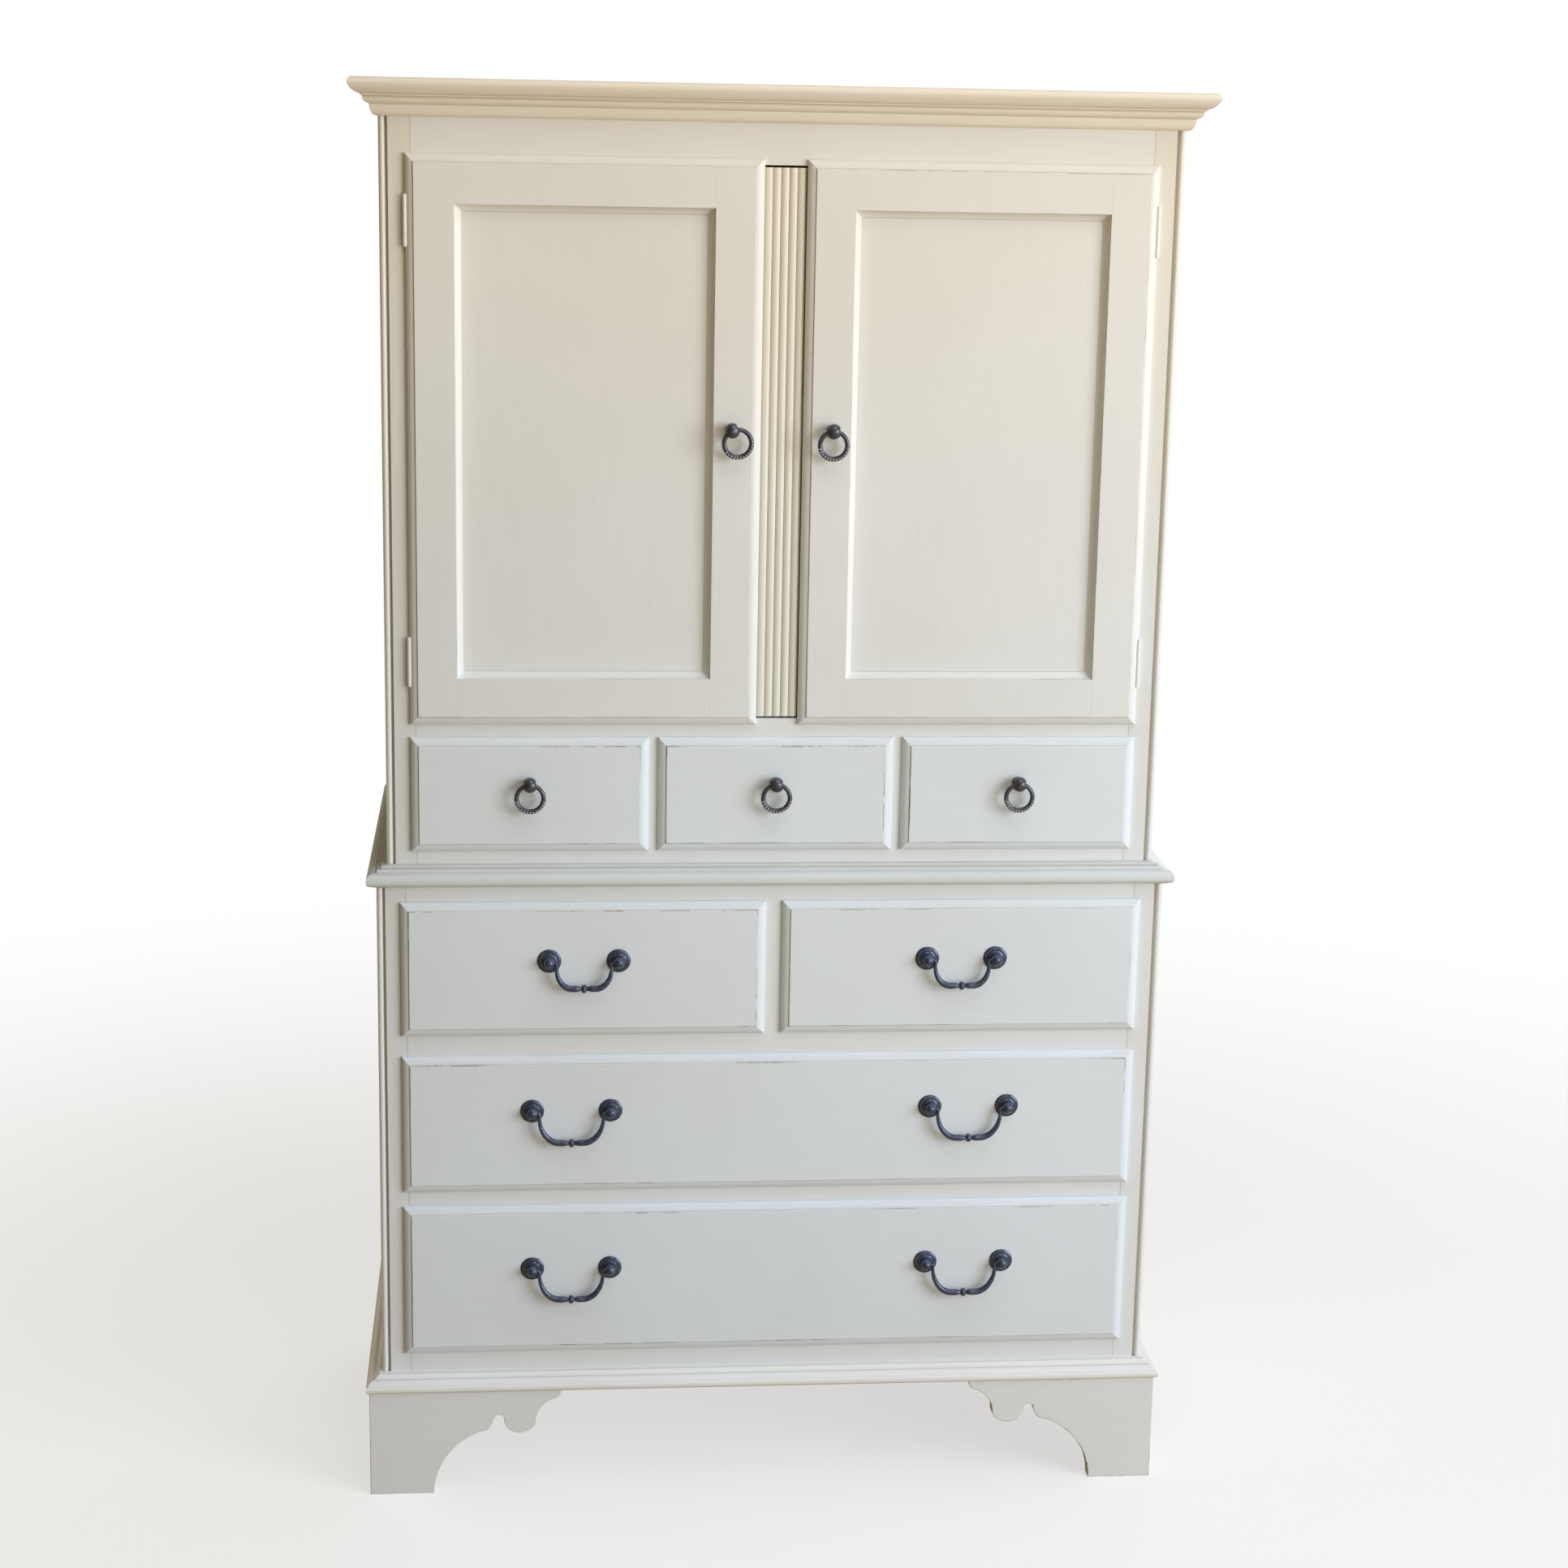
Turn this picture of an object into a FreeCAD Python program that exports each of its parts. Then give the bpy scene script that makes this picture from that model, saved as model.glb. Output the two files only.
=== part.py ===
import FreeCAD, Part
import math
import os
import types

import Sketcher

# Door chest: a cupboard with two panelled doors over three small drawers, standing on
# a chest of two short and two long drawers with bracket feet.
# Millimetres. X runs to the right seen from the front, Y to the back, Z up.
# The origin is on the floor, under the middle of the chest with its pulls.

os.makedirs("parts", exist_ok=True)
document = FreeCAD.newDocument("door_chest")

# Driving sizes
SIZES = {
    # Lower case, from the floor up: the margins and rails are what shows of them
    "lower_case_width": 1016.0,
    "case_depth": 520.0,
    "foot_height": 144.0,
    "lower_margin": 30.0,
    "bottom_margin": 50.4,
    "long_lower_height": 204.8,
    "long_rail": 20.3,
    "long_upper_height": 184.8,
    "short_rail": 27.7,
    "short_height": 177.8,
    "short_gap": 21.5,
    "seam_margin": 34.2,
    # Upper case, from the seam up
    "upper_set_back": 13.5,
    "upper_margin": 31.0,
    "small_margin": 29.8,
    "small_height": 148.3,
    "small_gap": 12.0,
    "door_rail": 16.3,
    "door_height": 704.0,
    "door_meeting_gap": 52.6,
    "top_margin": 87.6,
    # Boards of both cases
    "side_thickness": 20.0,
    "frame_thickness": 20.0,
    "floor_thickness": 18.0,
    "shelf_thickness": 18.0,
    "shelf_set_back": 32.0,
    "back_thickness": 12.0,
    "bearer_thickness": 18.0,
    "bearer_width": 30.0,
    "shelf_batten": 16.0,
    "overrun": 5.0,
    # Bead on the front corners
    "bead_width": 8.0,
    "quirk_width": 3.0,
    "quirk_slope": 0.8,
    # Lipped door and drawer fronts
    "front_proud": 10.0,
    "front_core": 10.0,
    "lip_edge": 2.7,
    "lip_seat": 0.3,
    "lip_lap": 9.0,
    "core_clearance": 1.5,
    "thumb_width": 12.0,
    "thumb_step": 1.5,
    # Drawer boxes
    "box_thickness": 12.0,
    "box_seat": 0.3,
    "box_top_gap": 8.0,
    "box_back_gap": 14.0,
    "box_bottom_thickness": 6.0,
    "box_bottom_rise": 9.0,
    "box_groove": 5.0,
    "tail_length": 9.0,
    # Doors
    "door_member": 60.0,
    "sticking_width": 10.0,
    "sticking_step": 1.5,
    "panel_depth": 10.5,
    "panel_thickness": 6.0,
    "panel_tongue": 8.0,
    "strip_thickness": 10.0,
    "strip_end_gap": 2.6,
    "strip_clearance": 1.8,
    "reed_depth": 1.7,
    # Crown, waist and base mouldings
    "crown_height": 45.0,
    "crown_projection": 34.2,
    "waist_rise": 13.0,
    "waist_fall": 15.0,
    "waist_projection": 25.9,
    "base_moulding_height": 24.3,
    "base_moulding_projection": 21.5,
    # Bracket feet
    "foot_spread": 17.0,
    "foot_length": 252.5,
    "foot_thickness": 20.0,
    "foot_block": 34.0,
    "foot_block_lift": 20.0,
    "rear_brace_length": 150.0,
    # Hinges
    "hinge_length": 60.4,
    "hinge_knuckle": 33.4,
    "hinge_barrel_radius": 3.15,
    "hinge_stand_off": 0.15,
    "hinge_inset": 50.0,
    "hinge_leaf": 1.2,
    "hinge_leaf_depth": 18.0,
    "hinge_wing": 25.0,
    "hinge_play": 0.3,
    "knuckle_play": 0.15,
    "pin_radius": 1.5,
    "pin_clearance": 0.05,
    "pin_head_radius": 2.6,
    "pin_head": 1.2,
    # Ring pulls
    "ring_radius": 17.0,
    "ring_wire": 3.2,
    "ring_clearance": 0.3,
    "ball_radius": 9.6,
    "ball_reach": 13.0,
    "ball_neck": 4.5,
    "ball_flange": 7.5,
    "ball_flange_thickness": 1.6,
    "door_pull_inset": 36.9,
    "door_pull_rise": 22.9,
    "small_pull_rise": 16.0,
    # Bail pulls
    "bail_span": 101.6,
    "short_bail_span": 88.9,
    "bail_reach": 11.0,
    "knob_radius": 7.2,
    "rosette_radius": 15.5,
    "rosette_rim": 1.2,
    "rosette_rise": 3.4,
    "rosette_step_radius": 10.6,
    "rosette_step": 0.9,
    "arm_clearance": 0.4,
    "tip_radius": 1.75,
    "tip_clearance": 0.08,
    "arm_radius": 2.2,
    "grip_radius": 4.0,
    "grip_half": 15.0,
    "grip_neck": 2.5,
    "grip_bead": 5.65,
    "grip_bead_half": 3.4,
    "short_bail_drop": 34.2,
    "long_upper_bail_drop": 40.5,
    "long_lower_bail_drop": 39.8,
    "long_pull_place": 260.0,
    "short_pull_rise": 12.3,
    "long_upper_pull_rise": 19.2,
    "long_lower_pull_rise": 16.8,
    # Studs and nuts behind the pulls
    "stud_radius": 2.0,
    "stud_clearance": 0.2,
    "stud_tail": 2.0,
    "nut_radius": 5.2,
    "nut_thickness": 3.6,
    "thread_clearance": 0.05,
}

# Counts and angles
BACK_BOARDS = 6
REEDS = 5
SHELVES = 2
SMALL_TAILS = 3
LARGE_TAILS = 4
LEFT_RING_LEAN = 24.0

sheet = document.addObject("Spreadsheet::Sheet", "sizes")
for row, (alias, length) in enumerate(SIZES.items(), start=1):
    sheet.set(f"A{row}", alias)
    sheet.set(f"B{row}", str(length))
    sheet.setAlias(f"B{row}", alias)
document.recompute()


class Size:
    """A length together with the sheet formula that gives it."""

    def __init__(self, value, text):
        self.value = float(value)
        self.text = text

    def __add__(self, other):
        other = as_size(other)
        return Size(self.value + other.value, f"({self.text} + {other.text})")

    def __radd__(self, other):
        return as_size(other) + self

    def __sub__(self, other):
        other = as_size(other)
        return Size(self.value - other.value, f"({self.text} - {other.text})")

    def __rsub__(self, other):
        return as_size(other) - self

    def __mul__(self, other):
        other = as_size(other)
        return Size(self.value * other.value, f"({self.text} * {other.text})")

    def __rmul__(self, other):
        return as_size(other) * self

    def __truediv__(self, other):
        other = as_size(other)
        return Size(self.value / other.value, f"({self.text} / {other.text})")

    def __neg__(self):
        return Size(-self.value, f"(0 - {self.text})")


def as_size(number):
    """Takes a plain number as a Size, and leaves a Size as it is."""
    if isinstance(number, Size):
        return number
    return Size(number, repr(float(number)))


def length_of(across, up):
    """The length of the line that goes so far across and so far up."""
    across, up = as_size(across), as_size(up)
    text = f"sqrt({across.text} * {across.text} + {up.text} * {up.text})"
    return Size(math.hypot(across.value, up.value), text)


size = types.SimpleNamespace(
    **{alias: Size(sheet.get(alias), f"sizes.{alias}") for alias in SIZES}
)


# Helpers for objects whose sizes follow the sheet
def bind(thing, **lengths):
    """Ties properties of an object to sizes."""
    for name, length in lengths.items():
        thing.setExpression(name, as_size(length).text)


def place(thing, x=0, y=0, z=0):
    """Ties an object's place to sizes."""
    for axis, length in (("x", x), ("y", y), ("z", z)):
        thing.setExpression(f"Placement.Base.{axis}", as_size(length).text)
    return thing


def turn(axis, angle):
    """A placement that only turns about an axis through the object's own origin."""
    return FreeCAD.Placement(FreeCAD.Vector(), FreeCAD.Rotation(axis, angle))


X_AXIS = FreeCAD.Vector(1, 0, 0)
Y_AXIS = FreeCAD.Vector(0, 1, 0)
Z_AXIS = FreeCAD.Vector(0, 0, 1)
TO_BACK = turn(X_AXIS, -90)
TO_RIGHT = turn(Y_AXIS, 90)
TO_LEFT = turn(Y_AXIS, -90)


def board(name, x, y, z):
    """A plain board between a low and a high limit along each axis."""
    piece = document.addObject("Part::Box", name)
    bind(piece, Length=x[1] - x[0], Width=y[1] - y[0], Height=z[1] - z[0])
    return place(piece, x[0], y[0], z[0])


def rod(name, radius, length, heading, x, y, z):
    """A round rod that starts at a point and runs along a heading."""
    piece = document.addObject("Part::Cylinder", name)
    bind(piece, Radius=radius, Height=length)
    piece.Placement = heading
    return place(piece, x, y, z)


def cut(name, base, *tools):
    """A piece less what is let into it."""
    piece = document.addObject("Part::Cut", name)
    piece.Base = base
    piece.Tool = tools[0] if len(tools) == 1 else group(f"{name}_tools", *tools)
    return piece


def common(name, base, tool):
    """What two pieces share."""
    piece = document.addObject("Part::Common", name)
    piece.Base = base
    piece.Tool = tool
    return piece


def fuse(name, *pieces):
    """Pieces worked from one blank."""
    piece = document.addObject("Part::MultiFuse", name)
    piece.Shapes = list(pieces)
    return piece


def group(name, *pieces):
    """Separate solids kept together."""
    piece = document.addObject("Part::Compound", name)
    piece.Links = list(pieces)
    return piece


def mirrored(piece):
    """The same piece on the other side of the chest."""
    other = document.addObject("Part::Mirroring", f"{piece.Name}_mirrored")
    other.Source = piece
    other.Normal = X_AXIS
    return other


def both_sides(*pieces):
    """Each piece and its mirror image."""
    return [*pieces, *[mirrored(piece) for piece in pieces]]


nodes = []


def node(label, *pieces):
    """Names a sub-part, which is one solid or a group of separate solids."""
    whole = pieces[0] if len(pieces) == 1 else group(f"{label}_group", *pieces)
    whole.Label = label
    nodes.append(whole)
    return whole


# Helpers for bodies drawn as outlines
def body(name):
    """A body at the chest's own origin."""
    return document.addObject("PartDesign::Body", name)


def origin_feature(owner, role):
    """One of the origin planes or axes of a body, by its role."""
    return [feature for feature in owner.Origin.OriginFeatures if feature.Role == role][0]


def loop_edges(points, first):
    """Edges and constraints of one closed outline.

    Each point is (across, up), or (across, up, bulge) where an arc runs on to the next
    point. The bulge is the arc's rise over half its chord, and is positive where the
    arc turns to the left, so that it bows out to the right of its way.
    """
    edges = []
    ends = []
    radii = []
    count = len(points)
    for index, point in enumerate(points):
        here = [as_size(value) for value in point[:2]]
        there = [as_size(value) for value in points[(index + 1) % count][:2]]
        start = FreeCAD.Vector(here[0].value, here[1].value, 0)
        end = FreeCAD.Vector(there[0].value, there[1].value, 0)
        bulge = as_size(point[2] if len(point) > 2 else 0)
        if bulge.value:
            way = end - start
            middle = (start + end) / 2 + FreeCAD.Vector(way.y, -way.x, 0) * (bulge.value / 2)
            chord = length_of(there[0] - here[0], there[1] - here[1])
            hand = math.copysign(1, bulge.value)
            radii.append((first + index, chord * ((1 + bulge * bulge) / (4 * hand * bulge))))
            if hand > 0:
                edges.append(Part.Arc(start, middle, end))
                ends.append((1, 2))
            else:
                edges.append(Part.Arc(end, middle, start))
                ends.append((2, 1))
        else:
            edges.append(Part.LineSegment(start, end))
            ends.append((1, 2))
    constraints = []
    formulas = []
    for index, point in enumerate(points):
        after = (index + 1) % count
        edge = first + index
        constraints.append(
            Sketcher.Constraint("Coincident", edge, ends[index][1], first + after, ends[after][0])
        )
        for kind, name, value in (("DistanceX", "across", point[0]), ("DistanceY", "up", point[1])):
            value = as_size(value)
            rule = Sketcher.Constraint(kind, -1, 1, edge, ends[index][0], value.value)
            rule.Name = f"{name}_{edge}"
            constraints.append(rule)
            formulas.append((rule.Name, value.text))
    for edge, radius in radii:
        rule = Sketcher.Constraint("Radius", edge, radius.value)
        rule.Name = f"radius_{edge}"
        constraints.append(rule)
        formulas.append((rule.Name, radius.text))
    return edges, constraints, formulas


def outline(owner, name, plane, *loops):
    """A sketch of closed outlines on one of a body's own planes."""
    sketch = owner.newObject("Sketcher::SketchObject", name)
    sketch.AttachmentSupport = [(origin_feature(owner, plane), "")]
    sketch.MapMode = "FlatFace"
    first = 0
    for points in loops:
        edges, constraints, formulas = loop_edges(points, first)
        sketch.addGeometry(edges, False)
        sketch.addConstraint(constraints)
        for rule, text in formulas:
            sketch.setExpression(f"Constraints.{rule}", text)
        first += len(points)
    return sketch


def pad(owner, sketch, length, side="One side", backwards=False):
    """Thickens an outline."""
    feature = owner.newObject("PartDesign::Pad", f"{sketch.Name}_pad")
    feature.Profile = sketch
    feature.SideType = side
    feature.Reversed = backwards
    bind(feature, Length=length)
    return feature


def pocket(owner, sketch, length, side="Symmetric", backwards=False):
    """Cuts an outline away."""
    feature = owner.newObject("PartDesign::Pocket", f"{sketch.Name}_pocket")
    feature.Profile = sketch
    feature.SideType = side
    feature.Reversed = backwards
    bind(feature, Length=length)
    return feature


def revolve(owner, sketch, axis):
    """Turns an outline about one of the body's own axes."""
    feature = owner.newObject("PartDesign::Revolution", f"{sketch.Name}_turned")
    feature.Profile = sketch
    feature.ReferenceAxis = (origin_feature(owner, axis), [""])
    feature.Angle = 360
    return feature


def groove(owner, sketch, axis):
    """Turns an outline about an axis and cuts it away."""
    feature = owner.newObject("PartDesign::Groove", f"{sketch.Name}_bored")
    feature.Profile = sketch
    feature.ReferenceAxis = (origin_feature(owner, axis), [""])
    feature.Angle = 360
    return feature


def shaped(name, plane, points, length, side="One side", backwards=False):
    """A body that is one outline made thick."""
    piece = body(name)
    pad(piece, outline(piece, f"{name}_outline", plane, points), length, side, backwards)
    return piece


# Main planes of the chest
lower_half = size.lower_case_width / 2
upper_half = lower_half - size.upper_set_back
front_reach = size.front_proud + size.bail_reach + size.knob_radius
lower_face = (front_reach - size.case_depth) / 2
upper_face = lower_face + size.upper_set_back
back_plane = lower_face + size.case_depth
lower_frame_back = lower_face + size.frame_thickness
upper_frame_back = upper_face + size.frame_thickness
back_board_front = back_plane - size.back_thickness

# Edges of the fronts, from the floor up
case_bottom = size.foot_height
long_lower_bottom = case_bottom + size.bottom_margin
long_lower_top = long_lower_bottom + size.long_lower_height
long_upper_bottom = long_lower_top + size.long_rail
long_upper_top = long_upper_bottom + size.long_upper_height
short_bottom = long_upper_top + size.short_rail
short_top = short_bottom + size.short_height
seam = short_top + size.seam_margin
small_bottom = seam + size.small_margin
small_top = small_bottom + size.small_height
door_bottom = small_top + size.door_rail
door_top = door_bottom + size.door_height
crown_top = door_top + size.top_margin
lower_front_edge = lower_half - size.lower_margin
upper_front_edge = upper_half - size.upper_margin
door_inner_edge = size.door_meeting_gap / 2

# How far an opening's edge lies inside the edge of the lip that covers it
lip_cover = size.lip_lap - size.core_clearance
lower_opening = lower_front_edge - lip_cover
upper_opening = upper_front_edge - lip_cover
lower_inside = lower_half - size.side_thickness
upper_inside = upper_half - size.side_thickness


# Face frames: the bead is nearly a half round
BEAD_BULGE_SHARE = 0.92

def beaded_stile(name, inner, outer, face, bottom, top):
    """A right-hand stile with a bead and a quirk along its outer front corner."""
    bead = size.bead_width / 2
    points = [
        (inner, size.frame_thickness),
        (inner, 0),
        (outer - size.bead_width - size.quirk_width, 0),
        (outer - size.bead_width - size.quirk_width + size.quirk_slope, bead),
        (outer - size.bead_width, bead, BEAD_BULGE_SHARE),
        (outer, bead),
        (outer, size.frame_thickness),
    ]
    return place(shaped(name, "XY_Plane", points, top - bottom), 0, face, bottom)


node(
    "lower_stiles",
    *both_sides(
        beaded_stile("lower_stile", lower_opening, lower_half, lower_face, case_bottom, seam)
    ),
)
upper_stile = beaded_stile("upper_stile", upper_opening, upper_half, upper_face, seam, crown_top)

lower_frame = (lower_face, lower_frame_back)
upper_frame = (upper_face, upper_frame_back)
lower_across = (-lower_opening, lower_opening)
upper_across = (-upper_opening, upper_opening)
short_divider_half = size.short_gap / 2 + lip_cover
small_width = (upper_front_edge * 2 - size.small_gap * 2) / 3
small_divider_inner = small_width / 2 - lip_cover
small_divider_outer = small_width / 2 + size.small_gap + lip_cover

node(
    "lower_rails",
    board("lower_bottom_rail", lower_across, lower_frame, (case_bottom, long_lower_bottom + lip_cover)),
    board(
        "long_drawer_rail",
        lower_across,
        lower_frame,
        (long_lower_top - lip_cover, long_upper_bottom + lip_cover),
    ),
    board(
        "short_drawer_rail",
        lower_across,
        lower_frame,
        (long_upper_top - lip_cover, short_bottom + lip_cover),
    ),
    board("lower_top_rail", lower_across, lower_frame, (short_top - lip_cover, seam)),
    board(
        "short_drawer_divider",
        (-short_divider_half, short_divider_half),
        lower_frame,
        (short_bottom + lip_cover, short_top - lip_cover),
    ),
)
small_opening_height = (small_bottom + lip_cover, small_top - lip_cover)
node(
    "upper_rails",
    board("upper_bottom_rail", upper_across, upper_frame, (seam, small_bottom + lip_cover)),
    board(
        "cupboard_rail", upper_across, upper_frame, (small_top - lip_cover, door_bottom + lip_cover)
    ),
    board("upper_top_rail", upper_across, upper_frame, (door_top - lip_cover, crown_top)),
    *both_sides(
        board(
            "small_drawer_divider",
            (small_divider_inner, small_divider_outer),
            upper_frame,
            small_opening_height,
        )
    ),
)

# Case sides, tops, floors, shelves and backs
node(
    "lower_sides",
    *both_sides(
        board(
            "lower_side",
            (lower_inside, lower_half),
            (lower_frame_back, back_plane),
            (case_bottom, seam),
        )
    ),
)
crown_board_bottom = crown_top - size.side_thickness
node(
    "upper_sides",
    *both_sides(
        board(
            "upper_side",
            (upper_inside, upper_half),
            (upper_frame_back, back_plane),
            (seam, crown_board_bottom),
        )
    ),
)
lower_between = (-lower_inside, lower_inside)
upper_between = (-upper_inside, upper_inside)
node(
    "lower_boards",
    board(
        "lower_top_board",
        lower_between,
        (lower_frame_back, back_board_front),
        (seam - size.side_thickness, seam),
    ),
    board(
        "lower_bottom_board",
        lower_between,
        (lower_frame_back, back_board_front),
        (case_bottom, case_bottom + size.floor_thickness),
    ),
)
cupboard_floor_top = door_bottom + lip_cover
cupboard_floor_bottom = cupboard_floor_top - size.floor_thickness
cupboard_pitch = (crown_board_bottom - cupboard_floor_top) / (SHELVES + 1)
shelf_tops = [cupboard_floor_top + cupboard_pitch * (shelf + 1) for shelf in range(SHELVES)]
node(
    "upper_boards",
    board(
        "upper_top_board",
        (-upper_half, upper_half),
        (upper_frame_back, back_plane),
        (crown_board_bottom, crown_top),
    ),
    board(
        "upper_bottom_board",
        upper_between,
        (upper_frame_back, back_board_front),
        (seam, seam + size.floor_thickness),
    ),
    board(
        "cupboard_floor",
        upper_between,
        (upper_frame_back, back_board_front),
        (cupboard_floor_bottom, cupboard_floor_top),
    ),
    *[
        board(
            f"shelf_{shelf}",
            upper_between,
            (upper_face + size.shelf_set_back, back_board_front),
            (top - size.shelf_thickness, top),
        )
        for shelf, top in enumerate(shelf_tops, start=1)
    ],
)


def back_boards(name, half, bottom, top):
    """Upright boards side by side across the back of a case."""
    pitch = half * 2 / BACK_BOARDS
    return [
        board(
            f"{name}_{index + 1}",
            (pitch * index - half, pitch * (index + 1) - half),
            (back_board_front, back_plane),
            (bottom, top),
        )
        for index in range(BACK_BOARDS)
    ]


node("lower_back", *back_boards("lower_back_board", lower_inside, case_bottom, seam))
node("upper_back", *back_boards("upper_back_board", upper_inside, seam, crown_board_bottom))


# Bearers and guides for the drawers
def outer_runner(name, inside, opening, frame_back, floor):
    """A bearer on the right side of a case, and the guide that stands on it."""
    run = (frame_back, back_board_front)
    guide = (opening, inside)
    bearer = board(
        f"{name}_bearer",
        (inside - size.bearer_width - size.side_thickness, inside),
        run,
        (floor - size.bearer_thickness, floor),
    )
    return [bearer, board(f"{name}_guide", guide, run, (floor, floor + size.bearer_thickness))]


def centre_runner(name, low, high, frame_back, floor):
    """A bearer behind a divider, and the guide that stands on it."""
    run = (frame_back, back_board_front)
    bearer = board(
        f"{name}_bearer",
        (low - size.bearer_width, high + size.bearer_width),
        run,
        (floor - size.bearer_thickness, floor),
    )
    return [bearer, board(f"{name}_guide", (low, high), run, (floor, floor + size.bearer_thickness))]


lower_runners = []
for runner_name, front_bottom in (
    ("long_lower_runner", long_lower_bottom),
    ("long_upper_runner", long_upper_bottom),
    ("short_runner", short_bottom),
):
    lower_runners += both_sides(
        *outer_runner(
            runner_name, lower_inside, lower_opening, lower_frame_back, front_bottom + lip_cover
        )
    )
lower_runners += centre_runner(
    "short_centre_runner",
    -short_divider_half,
    short_divider_half,
    lower_frame_back,
    short_bottom + lip_cover,
)
node("lower_runners", *lower_runners)

small_floor = small_bottom + lip_cover
upper_runners = both_sides(
    *outer_runner("small_runner", upper_inside, upper_opening, upper_frame_back, small_floor),
    *centre_runner(
        "small_centre_runner",
        small_divider_inner,
        small_divider_outer,
        upper_frame_back,
        small_floor,
    ),
)
for shelf, top in enumerate(shelf_tops, start=1):
    upper_runners += both_sides(
        board(
            f"shelf_batten_{shelf}",
            (upper_inside - size.shelf_batten, upper_inside),
            (upper_face + size.shelf_set_back, back_board_front),
            (top - size.shelf_thickness - size.shelf_batten, top - size.shelf_thickness),
        )
    )
node("upper_runners", *upper_runners)

# Mouldings: points are shares of a moulding's projection and height, out and up from the
# foot of its inner face, and the third number is the bulge of the arc that follows
CROWN_SHARES = [
    (0, 0, 0.25),
    (0.215, 0.084),
    (0.234, 0.11),
    (0.257, 0.313),
    (0.281, 0.326, 0.3),
    (0.503, 0.436),
    (0.503, 0.509),
    (0.596, 0.53),
    (0.596, 0.575),
    (0.63, 0.58, 0.23),
    (0.98, 0.79, 0.42),
    (0.915, 1),
    (0, 1),
]
WAIST_SHARES = [
    (0.884, 0.129, 0.3),
    (1, 0.321, 0.53),
    (0.544, 0.693),
    (0.48, 0.7),
    (0.463, 0.793),
    (0.29, 0.822),
    (0.222, 0.93),
    (0, 1),
]
BASE_SHARES = [
    (0, 0),
    (0.837, 0, 0.36),
    (0.996, 0.23, 0.3),
    (0.898, 0.424),
    (0.87, 0.432, 0.18),
    (0.6, 0.66),
    (0.5, 0.69, -0.18),
    (0.219, 0.872),
    (0.191, 0.885),
    (0.191, 1),
    (0, 1),
]


def profile(shares, projection, height, way):
    """Points of a moulding's section from its shares, with the projection one way.

    Shares run against the clock where the moulding stands out to the right, so the arcs
    turn round where it stands out to the left.
    """
    points = []
    for share in shares:
        point = [projection * (share[0] * way), height * share[1]]
        if len(share) > 2:
            point.append(share[2] * way)
        points.append(tuple(point))
    return points


def moulding(label, half, face, bottom, height, projection, section):
    """A moulding round the front and both sides of a case, mitred at its two corners.

    The section is a function of the way that the moulding stands out, 1 or -1.
    """
    reach = projection + size.overrun
    front = body(f"{label}_front")
    pad(
        front,
        outline(front, f"{label}_front_section", "YZ_Plane", section(-1)),
        (half + projection) * 2,
        "Symmetric",
    )
    right_waste = [(half, 0), (half + reach, -reach), (half + reach, 0)]
    left_waste = [(-half, 0), (-half - reach, 0), (-half - reach, -reach)]
    pocket(
        front,
        outline(front, f"{label}_front_mitres", "XY_Plane", right_waste, left_waste),
        (height + size.overrun) * 2,
    )
    place(front, 0, face, bottom)
    side = body(f"{label}_return")
    pad(
        side,
        outline(side, f"{label}_return_section", "XZ_Plane", section(1)),
        back_plane - face + projection,
        backwards=True,
    )
    pocket(
        side,
        outline(
            side,
            f"{label}_return_mitre",
            "XY_Plane",
            [(0, projection), (0, -size.overrun), (reach, -size.overrun)],
        ),
        (height + size.overrun) * 2,
    )
    place(side, half, face - projection, bottom)
    return node(label, front, *both_sides(side))


moulding(
    "crown_moulding",
    upper_half,
    upper_face,
    crown_top - size.crown_height,
    size.crown_height,
    size.crown_projection,
    lambda way: profile(CROWN_SHARES, size.crown_projection, size.crown_height, way),
)
moulding(
    "base_moulding",
    lower_half,
    lower_face,
    case_bottom,
    size.base_moulding_height,
    size.base_moulding_projection,
    lambda way: profile(BASE_SHARES, size.base_moulding_projection, size.base_moulding_height, way),
)


def waist_section(way):
    """Section of the waist moulding, which sits on the lower case's edge.

    It lies against the face of the upper case over the seam, and against the face of the
    lower case, further out, under it.
    """
    rise = size.waist_rise + size.waist_fall
    foot = [
        (0, size.waist_fall),
        (size.upper_set_back * way, size.waist_fall),
        (size.upper_set_back * way, 0),
    ]
    return foot + profile(WAIST_SHARES, size.waist_projection, rise, way)


moulding(
    "waist_moulding",
    upper_half,
    upper_face,
    seam - size.waist_fall,
    size.waist_rise + size.waist_fall,
    size.waist_projection,
    waist_section,
)

# Bracket feet: points are shares of a bracket's length and height, from the outer corner
FOOT_SHARES = [
    (0, 0),
    (0.333, 0, -0.31),
    (0.574, 0.601),
    (0.61, 0.614, 0.2),
    (0.647, 0.729, -0.76),
    (0.7, 0.726, 0.29),
    (0.74, 0.601, 0.41),
    (0.867, 0.67, -0.385),
    (0.977, 0.918, 0.26),
    (1, 1),
    (0, 1),
]
BRACE_SHARES = [(0, 0), (0.42, 0), (1, 0.72), (1, 1), (0, 1)]
foot_corner = lower_half + size.foot_spread
foot_face = lower_face - size.foot_spread
foot_cut = size.foot_thickness + size.overrun
block_height = (size.foot_block_lift, size.foot_height)

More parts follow.
